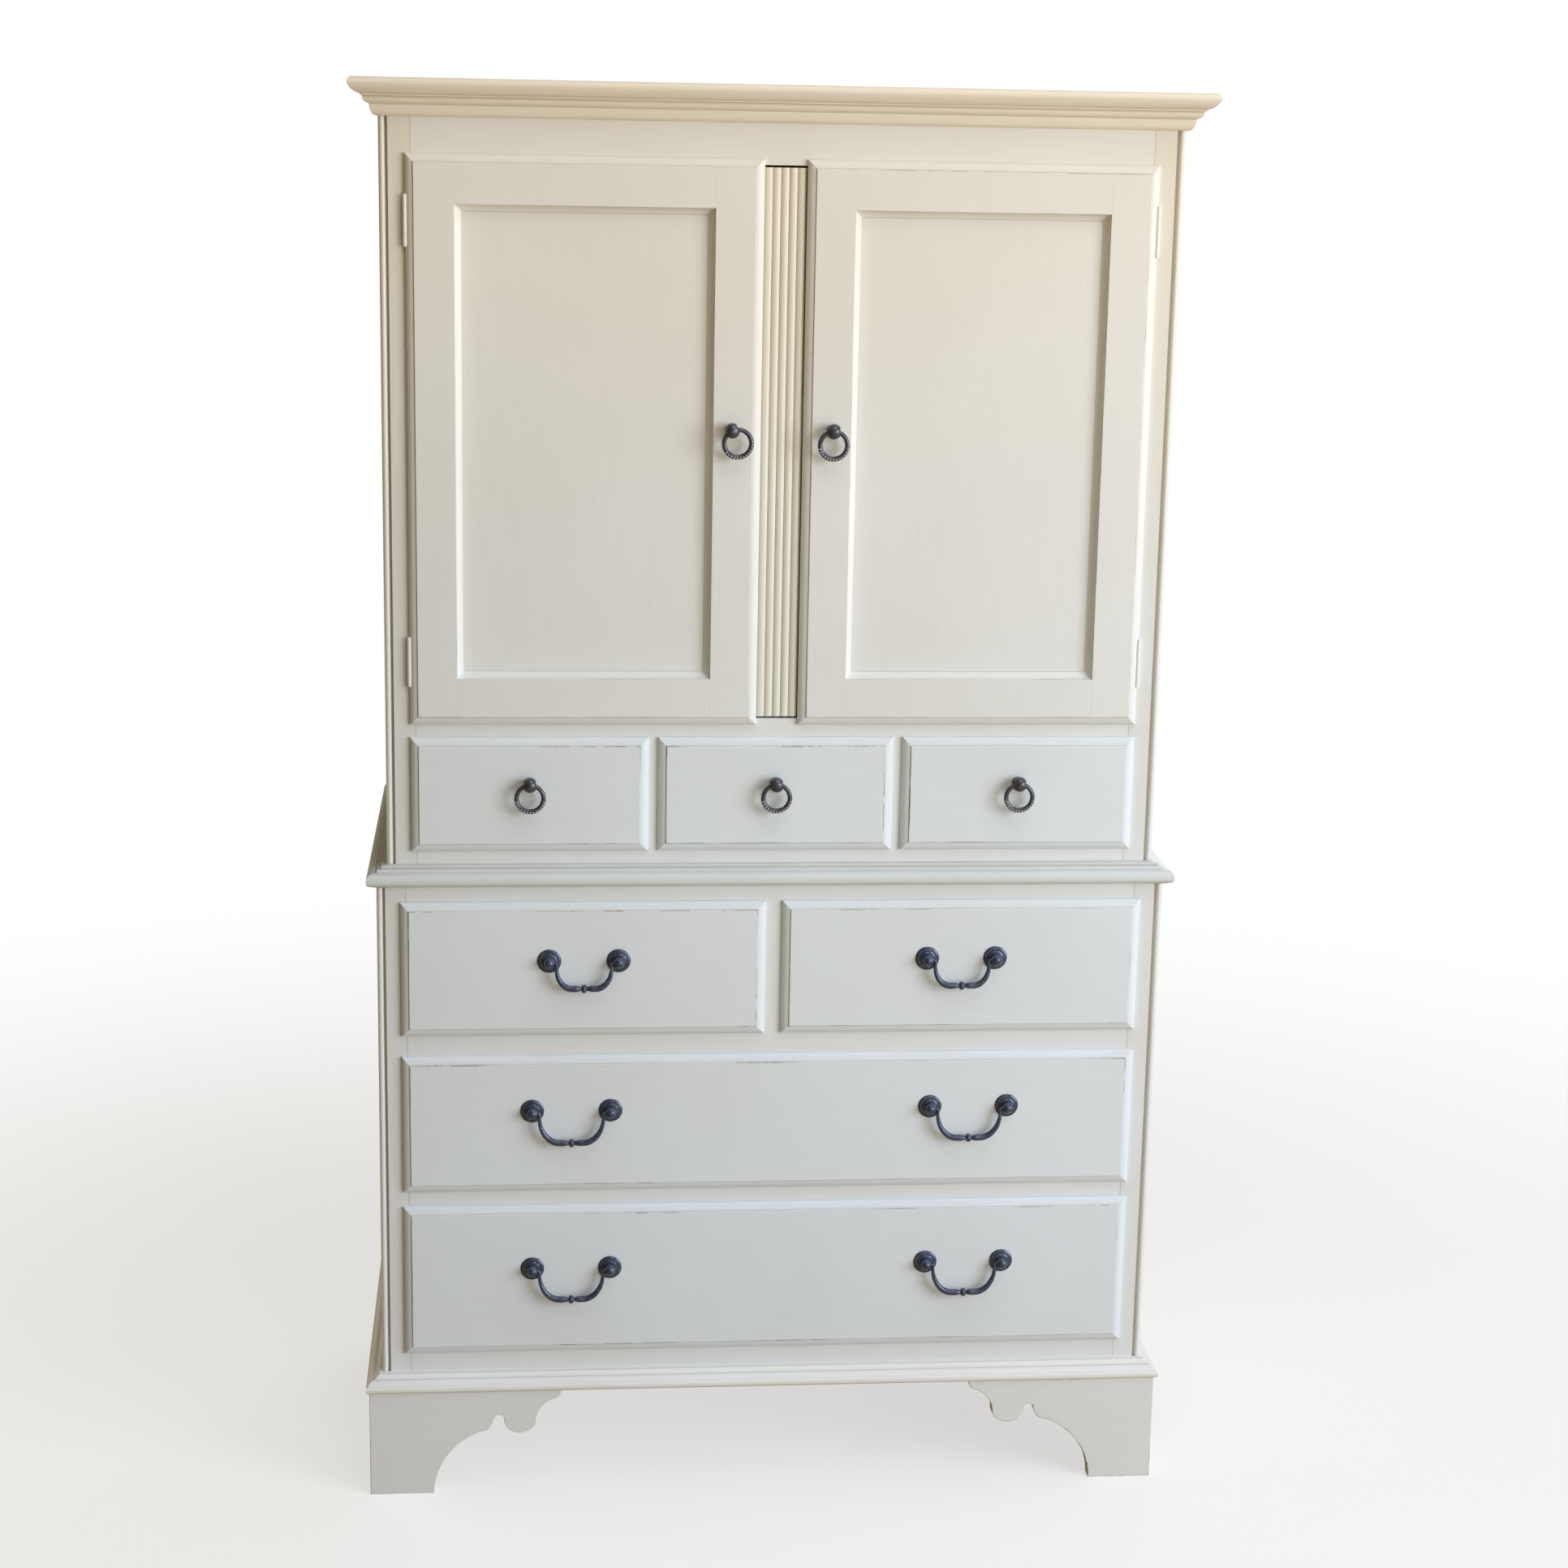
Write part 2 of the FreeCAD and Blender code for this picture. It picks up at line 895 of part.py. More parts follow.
front_bracket = shaped(
    "front_bracket",
    "XZ_Plane",
    profile(FOOT_SHARES, size.foot_length, size.foot_height, -1),
    size.foot_thickness,
    backwards=True,
)
pocket(
    front_bracket,
    outline(
        front_bracket,
        "front_bracket_mitre",
        "XY_Plane",
        [(0, 0), (size.overrun, 0), (size.overrun, foot_cut), (-foot_cut, foot_cut)],
    ),
    (size.foot_height + size.overrun) * 2,
)
place(front_bracket, foot_corner, foot_face, 0)
side_bracket = shaped(
    "side_bracket",
    "YZ_Plane",
    profile(FOOT_SHARES, size.foot_length, size.foot_height, 1),
    size.foot_thickness,
    backwards=True,
)
pocket(
    side_bracket,
    outline(
        side_bracket,
        "side_bracket_mitre",
        "XY_Plane",
        [(0, 0), (-foot_cut, foot_cut), (-foot_cut, -size.overrun), (0, -size.overrun)],
    ),
    (size.foot_height + size.overrun) * 2,
)
place(side_bracket, foot_corner, foot_face, 0)
foot_inside = foot_corner - size.foot_thickness
front_block = board(
    "front_foot_block",
    (foot_inside - size.foot_block, foot_inside),
    (foot_face + size.foot_thickness, foot_face + size.foot_thickness + size.foot_block),
    block_height,
)
node("front_feet", *both_sides(front_bracket, side_bracket, front_block))

rear_bracket = shaped(
    "rear_bracket",
    "YZ_Plane",
    profile(FOOT_SHARES, size.foot_length, size.foot_height, -1),
    size.foot_thickness,
    backwards=True,
)
place(rear_bracket, foot_corner, back_plane, 0)
rear_brace = shaped(
    "rear_brace",
    "XZ_Plane",
    profile(BRACE_SHARES, size.rear_brace_length, size.foot_height, -1),
    size.foot_thickness,
)
place(rear_brace, foot_inside, back_plane, 0)
rear_block = board(
    "rear_foot_block",
    (foot_inside - size.foot_block, foot_inside),
    (back_plane - size.foot_thickness - size.foot_block, back_plane - size.foot_thickness),
    block_height,
)
node("rear_feet", *both_sides(rear_bracket, rear_brace, rear_block))

# Lipped fronts: the thumbnail's arc, and where its ends lie in front of the face frame
THUMB_BULGE_SHARE = 0.218
lip_front = size.lip_seat + size.lip_edge
thumb_front = size.front_proud - size.thumb_step


def lipped_front(name, width, height):
    """A lipped front with a thumbnail moulding round its four edges, mitred at the corners.

    Its origin is the lower left corner of the lip, in the plane of the face frame.
    """
    lap = size.lip_lap
    thumb = size.thumb_width
    front = body(name)
    section = [
        (lap, size.front_core),
        (lap, -size.lip_seat),
        (0, -size.lip_seat),
        (0, -lip_front, THUMB_BULGE_SHARE),
        (thumb, -thumb_front),
        (thumb, -size.front_proud),
        (width - thumb, -size.front_proud),
        (width - thumb, -thumb_front, THUMB_BULGE_SHARE),
        (width, -lip_front),
        (width, -size.lip_seat),
        (width - lap, -size.lip_seat),
        (width - lap, size.front_core),
    ]
    pad(front, outline(front, f"{name}_section", "XY_Plane", section), height)
    past_front = -size.front_proud - size.overrun
    past_core = size.front_core + size.overrun
    past_top = height + size.overrun
    top_thumb = [
        (-lip_front, height, THUMB_BULGE_SHARE),
        (-thumb_front, height - thumb),
        (past_front, height - thumb),
        (past_front, past_top),
        (-lip_front, past_top),
    ]
    bottom_thumb = [
        (-lip_front, 0, -THUMB_BULGE_SHARE),
        (-thumb_front, thumb),
        (past_front, thumb),
        (past_front, -size.overrun),
        (-lip_front, -size.overrun),
    ]
    top_rebate = [
        (-size.lip_seat, height - lap),
        (past_core, height - lap),
        (past_core, past_top),
        (-size.lip_seat, past_top),
    ]
    bottom_rebate = [
        (-size.lip_seat, lap),
        (past_core, lap),
        (past_core, -size.overrun),
        (-size.lip_seat, -size.overrun),
    ]
    waste = outline(
        front, f"{name}_waste", "YZ_Plane", top_thumb, bottom_thumb, top_rebate, bottom_rebate
    )
    pocket(front, waste, (width + size.overrun) * 2)
    return front


# Ring pulls
def stud_and_nut(name, thickness, x, y, z):
    """The stud's hole through a front, and the nut behind it.

    The stud starts at the field of the front, at x, y, z.
    """
    hole = rod(
        f"{name}_hole",
        size.stud_radius + size.stud_clearance,
        thickness + size.overrun,
        TO_BACK,
        x,
        y,
        z,
    )
    blank = document.addObject("Part::Prism", f"{name}_nut_blank")
    blank.Polygon = 6
    bind(blank, Circumradius=size.nut_radius, Height=size.nut_thickness)
    blank.Placement = TO_BACK
    place(blank, x, y + thickness, z)
    bore = rod(
        f"{name}_nut_bore",
        size.stud_radius + size.thread_clearance,
        size.nut_thickness + size.overrun * 2,
        TO_BACK,
        x,
        y + thickness - size.overrun,
        z,
    )
    return hole, cut(f"{name}_nut", blank, bore)


def ring_post(name, thickness, x, y, z, lean=0):
    """A ball post with its stud, bored across for the ring, and its hole and nut.

    The post's own origin is the middle of its ball. The bore is an hourglass: its wall is
    an arc about the ring's centre, turned about the ring's hinge axis.
    """
    post = body(f"{name}_body")
    reach = size.ball_reach
    flange_front = reach - size.ball_flange_thickness
    stud_end = reach + thickness + size.nut_thickness + size.stud_tail
    neck_rise_share = 0.866
    turned = [
        (0, -size.ball_radius, 1.0 / math.sqrt(3)),
        (size.ball_radius * neck_rise_share, size.ball_radius / 2),
        (size.ball_neck, size.ball_radius),
        (size.ball_neck, flange_front),
        (size.ball_flange, flange_front),
        (size.ball_flange, reach),
        (size.stud_radius, reach),
        (size.stud_radius, stud_end),
        (0, stud_end),
    ]
    revolve(post, outline(post, f"{name}_section", "XY_Plane", turned), "Y_Axis")
    wall = size.ring_radius - size.ring_wire - size.ring_clearance
    half = size.ball_radius
    wall_bulge = 0.38
    rise = wall * ((1 - wall_bulge * wall_bulge) / (1 + wall_bulge * wall_bulge))
    run = wall * (2 * wall_bulge / (1 + wall_bulge * wall_bulge))
    edge = size.ring_radius - rise
    bored = [
        (-half, 0),
        (half, 0),
        (half, edge),
        (run, edge, -wall_bulge),
        (-run, edge),
        (-half, edge),
    ]
    groove(post, outline(post, f"{name}_bore", "XY_Plane", bored), "X_Axis")
    post.Placement = turn(Y_AXIS, -lean)
    place(post, x, y - reach, z)
    hole, nut = stud_and_nut(name, thickness, x, y, z)
    return post, hole, nut


def ring(name, x, y, z, lean=0):
    """A ring that hangs from a ball's middle. Its own origin is on its hinge axis."""
    piece = document.addObject("Part::Torus", f"{name}_torus")
    bind(piece, Radius1=size.ring_radius, Radius2=size.ring_wire)
    piece.Placement = turn(X_AXIS, 90)
    side = math.sin(math.radians(lean))
    down = math.cos(math.radians(lean))
    place(piece, x + size.ring_radius * side, y - size.ball_reach, z - size.ring_radius * down)
    return node(name, piece)


# Bail pulls
def bail_post(name, thickness, x, y, z, bore_heading):
    """A round rosette with a ball head, bored on one side for the bail's end.

    The post's own origin is the middle of its head, on the bail's hinge axis.
    """
    post = body(f"{name}_body")
    reach = size.bail_reach
    head = size.knob_radius
    step_front = reach - size.rosette_rise
    stud_end = reach + thickness + size.nut_thickness + size.stud_tail
    neck_turn_share = 0.72
    neck_side = head * neck_turn_share
    neck_back = head * math.sqrt(1 - neck_turn_share * neck_turn_share)
    head_bulge = math.tan((math.pi - math.asin(neck_turn_share)) / 4)
    turned = [
        (0, -head, head_bulge),
        (neck_side, neck_back),
        (neck_side, step_front),
        (size.rosette_step_radius, step_front + size.rosette_step),
        (size.rosette_step_radius, step_front + size.rosette_step * 2, 0.12),
        (size.rosette_radius, reach - size.rosette_rim),
        (size.rosette_radius, reach),
        (size.stud_radius, reach),
        (size.stud_radius, stud_end),
        (0, stud_end),
    ]
    revolve(post, outline(post, f"{name}_section", "XY_Plane", turned), "Y_Axis")
    place(post, x, y - reach, z)
    bore = rod(
        f"{name}_bore",
        size.tip_radius + size.tip_clearance,
        head + size.overrun,
        bore_heading,
        x,
        y - reach,
        z,
    )
    hole, nut = stud_and_nut(name, thickness, x, y, z)
    return cut(f"{name}_bored", post, bore), hole, nut


BAIL_TURNS = (0, 30, 60, 90)
BAIL_SWELL_SHARES = (0.0, 0.12, 0.55, 1.0)
BEND_RISE_SHARE = 1.3


def bail(name, x, y, z, span, drop):
    """A bail that hangs between two posts, a span apart, by its out-turned ends.

    Its arms swell from their ends to the grip, which is turned with a bead in its middle.
    Each bends on a quarter of an ellipse that is higher than it is wide.
    """
    arm_place = span / 2 - size.knob_radius - size.arm_clearance - size.tip_radius
    bend_run = arm_place - size.grip_half
    bend_rise = bend_run * BEND_RISE_SHARE
    axis_y = y - size.bail_reach
    bend_top = z - drop + bend_rise
    stations = [(arm_place, z, 0, size.tip_radius)]
    for angle, swell in zip(BAIL_TURNS, BAIL_SWELL_SHARES):
        turned = math.radians(angle)
        slope = math.atan2(math.sin(turned), BEND_RISE_SHARE * math.cos(turned))
        stations.append(
            (
                size.grip_half + bend_run * math.cos(turned),
                bend_top - bend_rise * math.sin(turned),
                math.degrees(slope),
                size.arm_radius + (size.grip_radius - size.arm_radius) * swell,
            )
        )
    circles = []
    for index, (across, up, angle, radius) in enumerate(stations):
        circle = document.addObject("Part::Circle", f"{name}_circle_{index}")
        bind(circle, Radius=radius)
        circle.Placement = turn(Y_AXIS, angle)
        circles.append(place(circle, across, axis_y, up))
    arm = document.addObject("Part::Loft", f"{name}_arm")
    arm.Sections = circles
    arm.Solid = True
    tip = rod(
        f"{name}_tip",
        size.tip_radius,
        span / 2 - arm_place,
        TO_RIGHT,
        arm_place,
        axis_y,
        z,
    )
    elbow = document.addObject("Part::Sphere", f"{name}_elbow")
    bind(elbow, Radius=size.tip_radius)
    place(elbow, arm_place, axis_y, z)
    grip = body(f"{name}_grip")
    half = size.grip_half
    neck_place = size.grip_bead_half * 1.25
    bead_bulge = (size.grip_bead - size.grip_neck) / size.grip_bead_half
    swell_place = half * 0.6
    turned_grip = [
        (-half, 0),
        (half, 0),
        (half, size.grip_radius),
        (swell_place, size.grip_radius, 0.15),
        (neck_place, size.grip_neck),
        (size.grip_bead_half, size.grip_neck, bead_bulge),
        (-size.grip_bead_half, size.grip_neck),
        (-neck_place, size.grip_neck, 0.15),
        (-swell_place, size.grip_radius),
        (-half, size.grip_radius),
    ]
    revolve(grip, outline(grip, f"{name}_grip_section", "XZ_Plane", turned_grip), "X_Axis")
    place(grip, 0, axis_y, z - drop)
    whole = fuse(f"{name}_whole", grip, *both_sides(arm, tip, elbow))
    place(whole, x, 0, 0)
    return node(name, whole)


# Drawers: a dovetail's shares of its pitch and of its length
TAIL_ROOT_SHARE = 0.5
TAIL_SLOPE_SHARE = 1 / 7


def tails(root, length, way, low, high, count):
    """Corners of a row of dovetails, from the lowest up, that stand out one way."""
    pitch = (high - low) / count
    half_root = pitch * (TAIL_ROOT_SHARE / 2)
    half_tip = half_root + length * TAIL_SLOPE_SHARE
    tip = root + length * way
    corners = []
    for index in range(count):
        middle = low + pitch * (index + 0.5)
        corners += [
            (root, middle - half_root),
            (tip, middle - half_tip),
            (tip, middle + half_tip),
            (root, middle + half_root),
        ]
    return corners


def drawer_side(name, length, height, count):
    """A side board, dovetailed into the front and through the back.

    Its origin is the lower end of its shoulder against the front. Under the back board it
    runs on to its full length.
    """
    wall = size.box_thickness
    core_low = size.lip_lap - lip_cover - size.box_seat
    back_low = size.box_bottom_rise + size.box_bottom_thickness
    points = [
        (0, 0),
        (length, 0),
        (length, back_low),
        (length - wall, back_low),
        *tails(length - wall, wall, 1, back_low, height, count),
        (length - wall, height),
        (0, height),
        *reversed(tails(as_size(0), size.tail_length, -1, core_low, height, count)),
    ]
    return shaped(name, "YZ_Plane", points, wall)


def drawer(name, label, left, width, bottom, height, face, count, pulls):
    """A drawer: its lipped front, its box and its pulls, and the rings or bails on them.

    The box has so many dovetails at each of its corners.
    """
    core_left = left + size.lip_lap
    core_right = left + width - size.lip_lap
    box_front = face + size.front_core
    box_back = back_board_front - size.box_back_gap
    box_bottom = bottom + lip_cover + size.box_seat
    box_top = bottom + height - lip_cover - size.box_top_gap
    floor = box_bottom + size.box_bottom_rise
    wall = size.box_thickness
    panel = board(
        f"{name}_bottom",
        (core_left + wall - size.box_groove, core_right - wall + size.box_groove),
        (box_front - size.box_groove, box_back),
        (floor, floor + size.box_bottom_thickness),
    )
    sides = []
    for hand, side_left in (("left", core_left), ("right", core_right - wall)):
        tailed = drawer_side(
            f"{name}_{hand}_side_blank", box_back - box_front, box_top - box_bottom, count
        )
        place(tailed, side_left, box_front, box_bottom)
        sides.append(cut(f"{name}_{hand}_side", tailed, panel))
    back_blank = board(
        f"{name}_back_blank",
        (core_left, core_right),
        (box_back - wall, box_back),
        (floor + size.box_bottom_thickness, box_top),
    )
    back = cut(f"{name}_back", back_blank, *sides)
    blank = place(lipped_front(f"{name}_blank", width, height), left, face, bottom)
    centre = left + width / 2
    field = face - size.front_proud
    thickness = size.front_proud + size.front_core
    posts, holes, nuts = [], [], []
    for pull in pulls(name, label, centre, field, bottom + height / 2, thickness):
        posts.append(pull[0])
        holes.append(pull[1])
        nuts.append(pull[2])
    node(f"{label}_front", cut(f"{name}_front", blank, panel, *holes, *sides))
    node(f"{label}_box", *sides, back, panel)
    node(f"{label}_pulls", *posts, *nuts)


def ring_pulls(rise):
    """A ring pull in the middle of a front."""

    def make(name, label, centre, field, middle, thickness):
        height = middle + rise
        post = ring_post(f"{name}_post", thickness, centre, field, height)
        ring(f"{label}_ring", centre, field, height)
        return [post]

    return make


def bail_pulls(rise, span, drop, places):
    """Bail pulls, each between two posts, at places across a front."""

    def make(name, label, centre, field, middle, thickness):
        height = middle + rise
        made = []
        for hand, across in places:
            at = centre + across
            for side, way, heading in (("left", -1, TO_RIGHT), ("right", 1, TO_LEFT)):
                made.append(
                    bail_post(
                        f"{name}{hand}_{side}_post",
                        thickness,
                        at + span / 2 * way,
                        field,
                        height,
                        heading,
                    )
                )
            bail(f"{label}{hand}_bail", at, field, height, span, drop)
        return made

    return make


small_pitch = small_width + size.small_gap
for hand, across in (("left", -1), ("middle", 0), ("right", 1)):
    drawer(
        f"small_{hand}",
        f"small_{hand}_drawer",
        small_pitch * across - small_width / 2,
        small_width,
        small_bottom,
        size.small_height,
        upper_face,
        SMALL_TAILS,
        ring_pulls(size.small_pull_rise),
    )
short_width = lower_front_edge - size.short_gap / 2
for hand, left in (("left", -lower_front_edge), ("right", size.short_gap / 2)):
    drawer(
        f"short_{hand}",
        f"short_{hand}_drawer",
        left,
        short_width,
        short_bottom,
        size.short_height,
        lower_face,
        LARGE_TAILS,
        bail_pulls(size.short_pull_rise, size.short_bail_span, size.short_bail_drop, [("", 0)]),
    )
long_places = [("_left", -size.long_pull_place), ("_right", size.long_pull_place)]
for level, bottom, height, rise, drop in (
    (
        "upper",
        long_upper_bottom,
        size.long_upper_height,
        size.long_upper_pull_rise,
        size.long_upper_bail_drop,
    ),
    (
        "lower",
        long_lower_bottom,
        size.long_lower_height,
        size.long_lower_pull_rise,
        size.long_lower_bail_drop,
    ),
):
    drawer(
        f"long_{level}",
        f"long_{level}_drawer",
        -lower_front_edge,
        lower_front_edge * 2,
        bottom,
        height,
        lower_face,
        LARGE_TAILS,
        bail_pulls(rise, size.bail_span, drop, long_places),
    )

# Hinges of the right door, from its axis at the door's outer edge
hinge_x = upper_front_edge
hinge_y = upper_face - size.hinge_barrel_radius - size.hinge_stand_off
hinge_low = door_bottom + size.hinge_inset
hinge_high = door_top - size.hinge_inset - size.hinge_length
hinge_end_knuckle = (size.hinge_length - size.hinge_knuckle) / 2
notch = size.hinge_barrel_radius + size.hinge_play


def door_leaf(name, bottom):
    """The door's leaf: behind the lip, along the core's edge and in across its back."""
    leaf = size.hinge_leaf
    near = -notch - size.knuckle_play
    core = -size.lip_lap
    points = [
        (near, -size.lip_seat),
        (core, -size.lip_seat),
        (core, size.front_core),
        (core - size.hinge_wing, size.front_core),
        (core - size.hinge_wing, size.front_core - leaf),
        (core - leaf, size.front_core - leaf),
        (core - leaf, -size.lip_seat - leaf),
        (near, -size.lip_seat - leaf),
    ]
    plate = place(
        shaped(f"{name}_plate", "XY_Plane", points, size.hinge_length), hinge_x, upper_face, bottom
    )
    low = bottom + hinge_end_knuckle + size.knuckle_play
    length = size.hinge_knuckle - size.knuckle_play * 2
    barrel = rod(
        f"{name}_barrel", size.hinge_barrel_radius, length, turn(Z_AXIS, 0), hinge_x, hinge_y, low
    )
    arm = board(
        f"{name}_arm",
        (hinge_x + near, hinge_x),
        (upper_face - size.lip_seat - leaf, upper_face - size.lip_seat),
        (low, low + length),
    )
    bore = rod(
        f"{name}_bore",
        size.pin_radius + size.pin_clearance,
        size.hinge_length,
        turn(Z_AXIS, 0),
        hinge_x,
        hinge_y,
        bottom,
    )
    return cut(name, fuse(f"{name}_whole", plate, barrel, arm), bore)


def case_leaf(name, bottom):
    """The case's leaf: let into the stile's face and turned in along its inner edge."""
    leaf = size.hinge_leaf
    edge = -lip_cover
    points = [
        (size.hinge_leaf / 2, 0),
        (size.hinge_leaf / 2, leaf),
        (edge + leaf, leaf),
        (edge + leaf, size.hinge_leaf_depth),
        (edge, size.hinge_leaf_depth),
        (edge, 0),
    ]
    plate = place(
        shaped(f"{name}_plate", "XY_Plane", points, size.hinge_length), hinge_x, upper_face, bottom
    )
    made = [plate]
    upper_end = bottom + size.hinge_length - hinge_end_knuckle
    for end, low in (("low", bottom), ("high", upper_end)):
        made.append(
            rod(
                f"{name}_{end}_barrel",
                size.hinge_barrel_radius,
                hinge_end_knuckle,
                turn(Z_AXIS, 0),
                hinge_x,
                hinge_y,
                low,
            )
        )
        made.append(
            board(
                f"{name}_{end}_arm",
                (hinge_x - leaf / 2, hinge_x + leaf / 2),
                (hinge_y + size.pin_radius + leaf / 2, upper_face + leaf),
                (low, low + hinge_end_knuckle),
            )
        )
    bore = rod(
        f"{name}_bore",
        size.pin_radius + size.pin_clearance,
        size.hinge_length,
        turn(Z_AXIS, 0),
        hinge_x,
        hinge_y,
        bottom,
    )
    return cut(name, fuse(f"{name}_whole", *made), bore)


def hinge_pin(name, bottom):
    """A pin with a small head on each end of the barrel."""
    shank = rod(
        f"{name}_shank", size.pin_radius, size.hinge_length, turn(Z_AXIS, 0), hinge_x, hinge_y, bottom
    )
    heads = [
        rod(
            f"{name}_{end}_head",
            size.pin_head_radius,
            size.pin_head,
            turn(Z_AXIS, 0),
            hinge_x,
            hinge_y,
            low,
        )
        for end, low in (("low", bottom - size.pin_head), ("high", bottom + size.hinge_length))
    ]
    return fuse(name, shank, *heads)


door_leaves = [door_leaf("door_leaf_low", hinge_low), door_leaf("door_leaf_high", hinge_high)]
case_leaves = [case_leaf("case_leaf_low", hinge_low), case_leaf("case_leaf_high", hinge_high)]
node("hinge_case_leaves", *both_sides(*case_leaves))
node(
    "hinge_pins",
    *both_sides(hinge_pin("hinge_pin_low", hinge_low), hinge_pin("hinge_pin_high", hinge_high)),
)
mortised_stile = cut("upper_stile_mortised", upper_stile, *case_leaves)
node("upper_stiles", *both_sides(mortised_stile))

# Right door, and the left one as its mirror image
STICKING_BULGE_SHARE = 0.3
door_width = upper_front_edge - door_inner_edge
door_left = door_inner_edge
door_field = upper_face - size.front_proud
panel_face = size.panel_depth - size.front_proud
sticking_edge = size.door_member + size.sticking_width


def sticking_waste(breadth, flip):
    """The section of a framed opening, with its sticking on both sides.

    It is drawn as across and depth, or turned over as depth and across.
    """
    bulge = STICKING_BULGE_SHARE * (-1 if flip else 1)
    member = size.door_member
    points = [
        (member, -size.front_proud - size.overrun),
        (member, -size.front_proud + size.sticking_step, -bulge),
        (sticking_edge, panel_face),
        (sticking_edge, size.front_core + size.overrun),
        (breadth - sticking_edge, size.front_core + size.overrun),
        (breadth - sticking_edge, panel_face, -bulge),
        (breadth - member, -size.front_proud + size.sticking_step),
        (breadth - member, -size.front_proud - size.overrun),
    ]
    if flip:
        return [(point[1], point[0], *point[2:]) for point in points]
    return points


upright_waste = place(
    shaped("door_upright_waste", "XY_Plane", sticking_waste(door_width, False), size.door_height),
    door_left,
    upper_face,
    door_bottom,
)
level_waste = place(
    shaped("door_level_waste", "YZ_Plane", sticking_waste(size.door_height, True), door_width),
    door_left,
    upper_face,
    door_bottom,
)
opening_waste = common("door_opening_waste", upright_waste, level_waste)
tongue = sticking_edge - size.panel_tongue
door_panel = board(
    "door_panel",
    (door_left + tongue, door_left + door_width - tongue),
    (upper_face + panel_face, upper_face + panel_face + size.panel_thickness),
    (door_bottom + tongue, door_top - tongue),
)
hinge_notches = [
    board(
        f"hinge_notch_{end}",
        (hinge_x - notch, hinge_x + size.overrun),
        (upper_face - size.front_proud, upper_face - size.lip_seat),
        (low - size.hinge_play - size.pin_head, low + size.hinge_length + size.hinge_play + size.pin_head),
    )
    for end, low in (("low", hinge_low), ("high", hinge_high))
]
door_thickness = size.front_proud + size.front_core
pull_x = door_inner_edge + size.door_pull_inset
pull_z = (door_bottom + door_top) / 2 + size.door_pull_rise
right_post, pull_hole, pull_nut = ring_post(
    "right_door_post", door_thickness, pull_x, door_field, pull_z
)
door_blank = place(
    lipped_front("door_blank", door_width, size.door_height), door_left, upper_face, door_bottom
)
door_ring = cut(
    "door_frame_whole",
    door_blank,
    opening_waste,
    door_panel,
    *hinge_notches,
    *door_leaves,
    pull_hole,
)


def door_member(name, points):
    """One stile or rail of the door, parted from its neighbours at the mitred sticking."""
    region = place(
        shaped(f"{name}_region", "XZ_Plane", points, door_thickness * 2, "Symmetric"),
        door_left,
        upper_face,
        door_bottom,
    )
    return common(name, door_ring, region)


member = size.door_member
door_members = [
    door_member(
        "hanging_stile",
        [
            (door_width, 0),
            (door_width, size.door_height),
            (door_width - member, size.door_height),
            (door_width - member, size.door_height - member),
            (door_width - sticking_edge, size.door_height - sticking_edge),
            (door_width - sticking_edge, sticking_edge),
            (door_width - member, member),
            (door_width - member, 0),
        ],
    ),
    door_member(
        "meeting_stile",
        [
            (0, 0),
            (member, 0),
            (member, member),
            (sticking_edge, sticking_edge),
            (sticking_edge, size.door_height - sticking_edge),
            (member, size.door_height - member),
            (member, size.door_height),
            (0, size.door_height),
        ],
    ),
    door_member(
        "bottom_rail",
        [
            (member, 0),
            (door_width - member, 0),
            (door_width - member, member),
            (door_width - sticking_edge, sticking_edge),
            (sticking_edge, sticking_edge),
            (member, member),
        ],
    ),
    door_member(
        "top_rail",
        [
            (member, size.door_height),
            (member, size.door_height - member),
            (sticking_edge, size.door_height - sticking_edge),
            (door_width - sticking_edge, size.door_height - sticking_edge),
            (door_width - member, size.door_height - member),
            (door_width - member, size.door_height),
        ],
    ),
]
node("right_door_frame", *door_members)
node("right_door_panel", door_panel)
node("right_door_hinge_leaves", *door_leaves)
node("right_door_pull", right_post, pull_nut)
ring("right_door_ring", pull_x, door_field, pull_z)
node("left_door_frame", *[mirrored(piece) for piece in door_members])
node("left_door_panel", mirrored(door_panel))
node("left_door_hinge_leaves", *[mirrored(piece) for piece in door_leaves])
left_post, left_hole, left_nut = ring_post(
    "left_door_post", door_thickness, -pull_x, door_field, pull_z, LEFT_RING_LEAN
)
node("left_door_pull", left_post, left_nut)
ring("left_door_ring", -pull_x, door_field, pull_z, LEFT_RING_LEAN)

# Reeded strip on the left door's edge, which fills the gap between the doors
strip_left = -door_inner_edge - size.lip_lap
strip_right = door_inner_edge - size.strip_clearance
reeds_left = -door_inner_edge
reed_width = (strip_right - reeds_left) / REEDS
reed_bulge = size.reed_depth / (reed_width / 2)
strip_points = [
    (strip_left, size.strip_thickness),
    (strip_left, size.reed_depth),
    (reeds_left, size.reed_depth, reed_bulge),
]
for reed in range(1, REEDS):
    strip_points.append((reeds_left + reed_width * reed, size.reed_depth, reed_bulge))
strip_points += [(strip_right, size.reed_depth), (strip_right, size.strip_thickness)]
strip_bottom = door_bottom + lip_cover + size.strip_end_gap
strip_top = door_top - lip_cover - size.strip_end_gap
node(
    "meeting_strip",
    place(
        shaped("meeting_strip_body", "XY_Plane", strip_points, strip_top - strip_bottom),
        0,
        upper_face,
        strip_bottom,
    ),
)

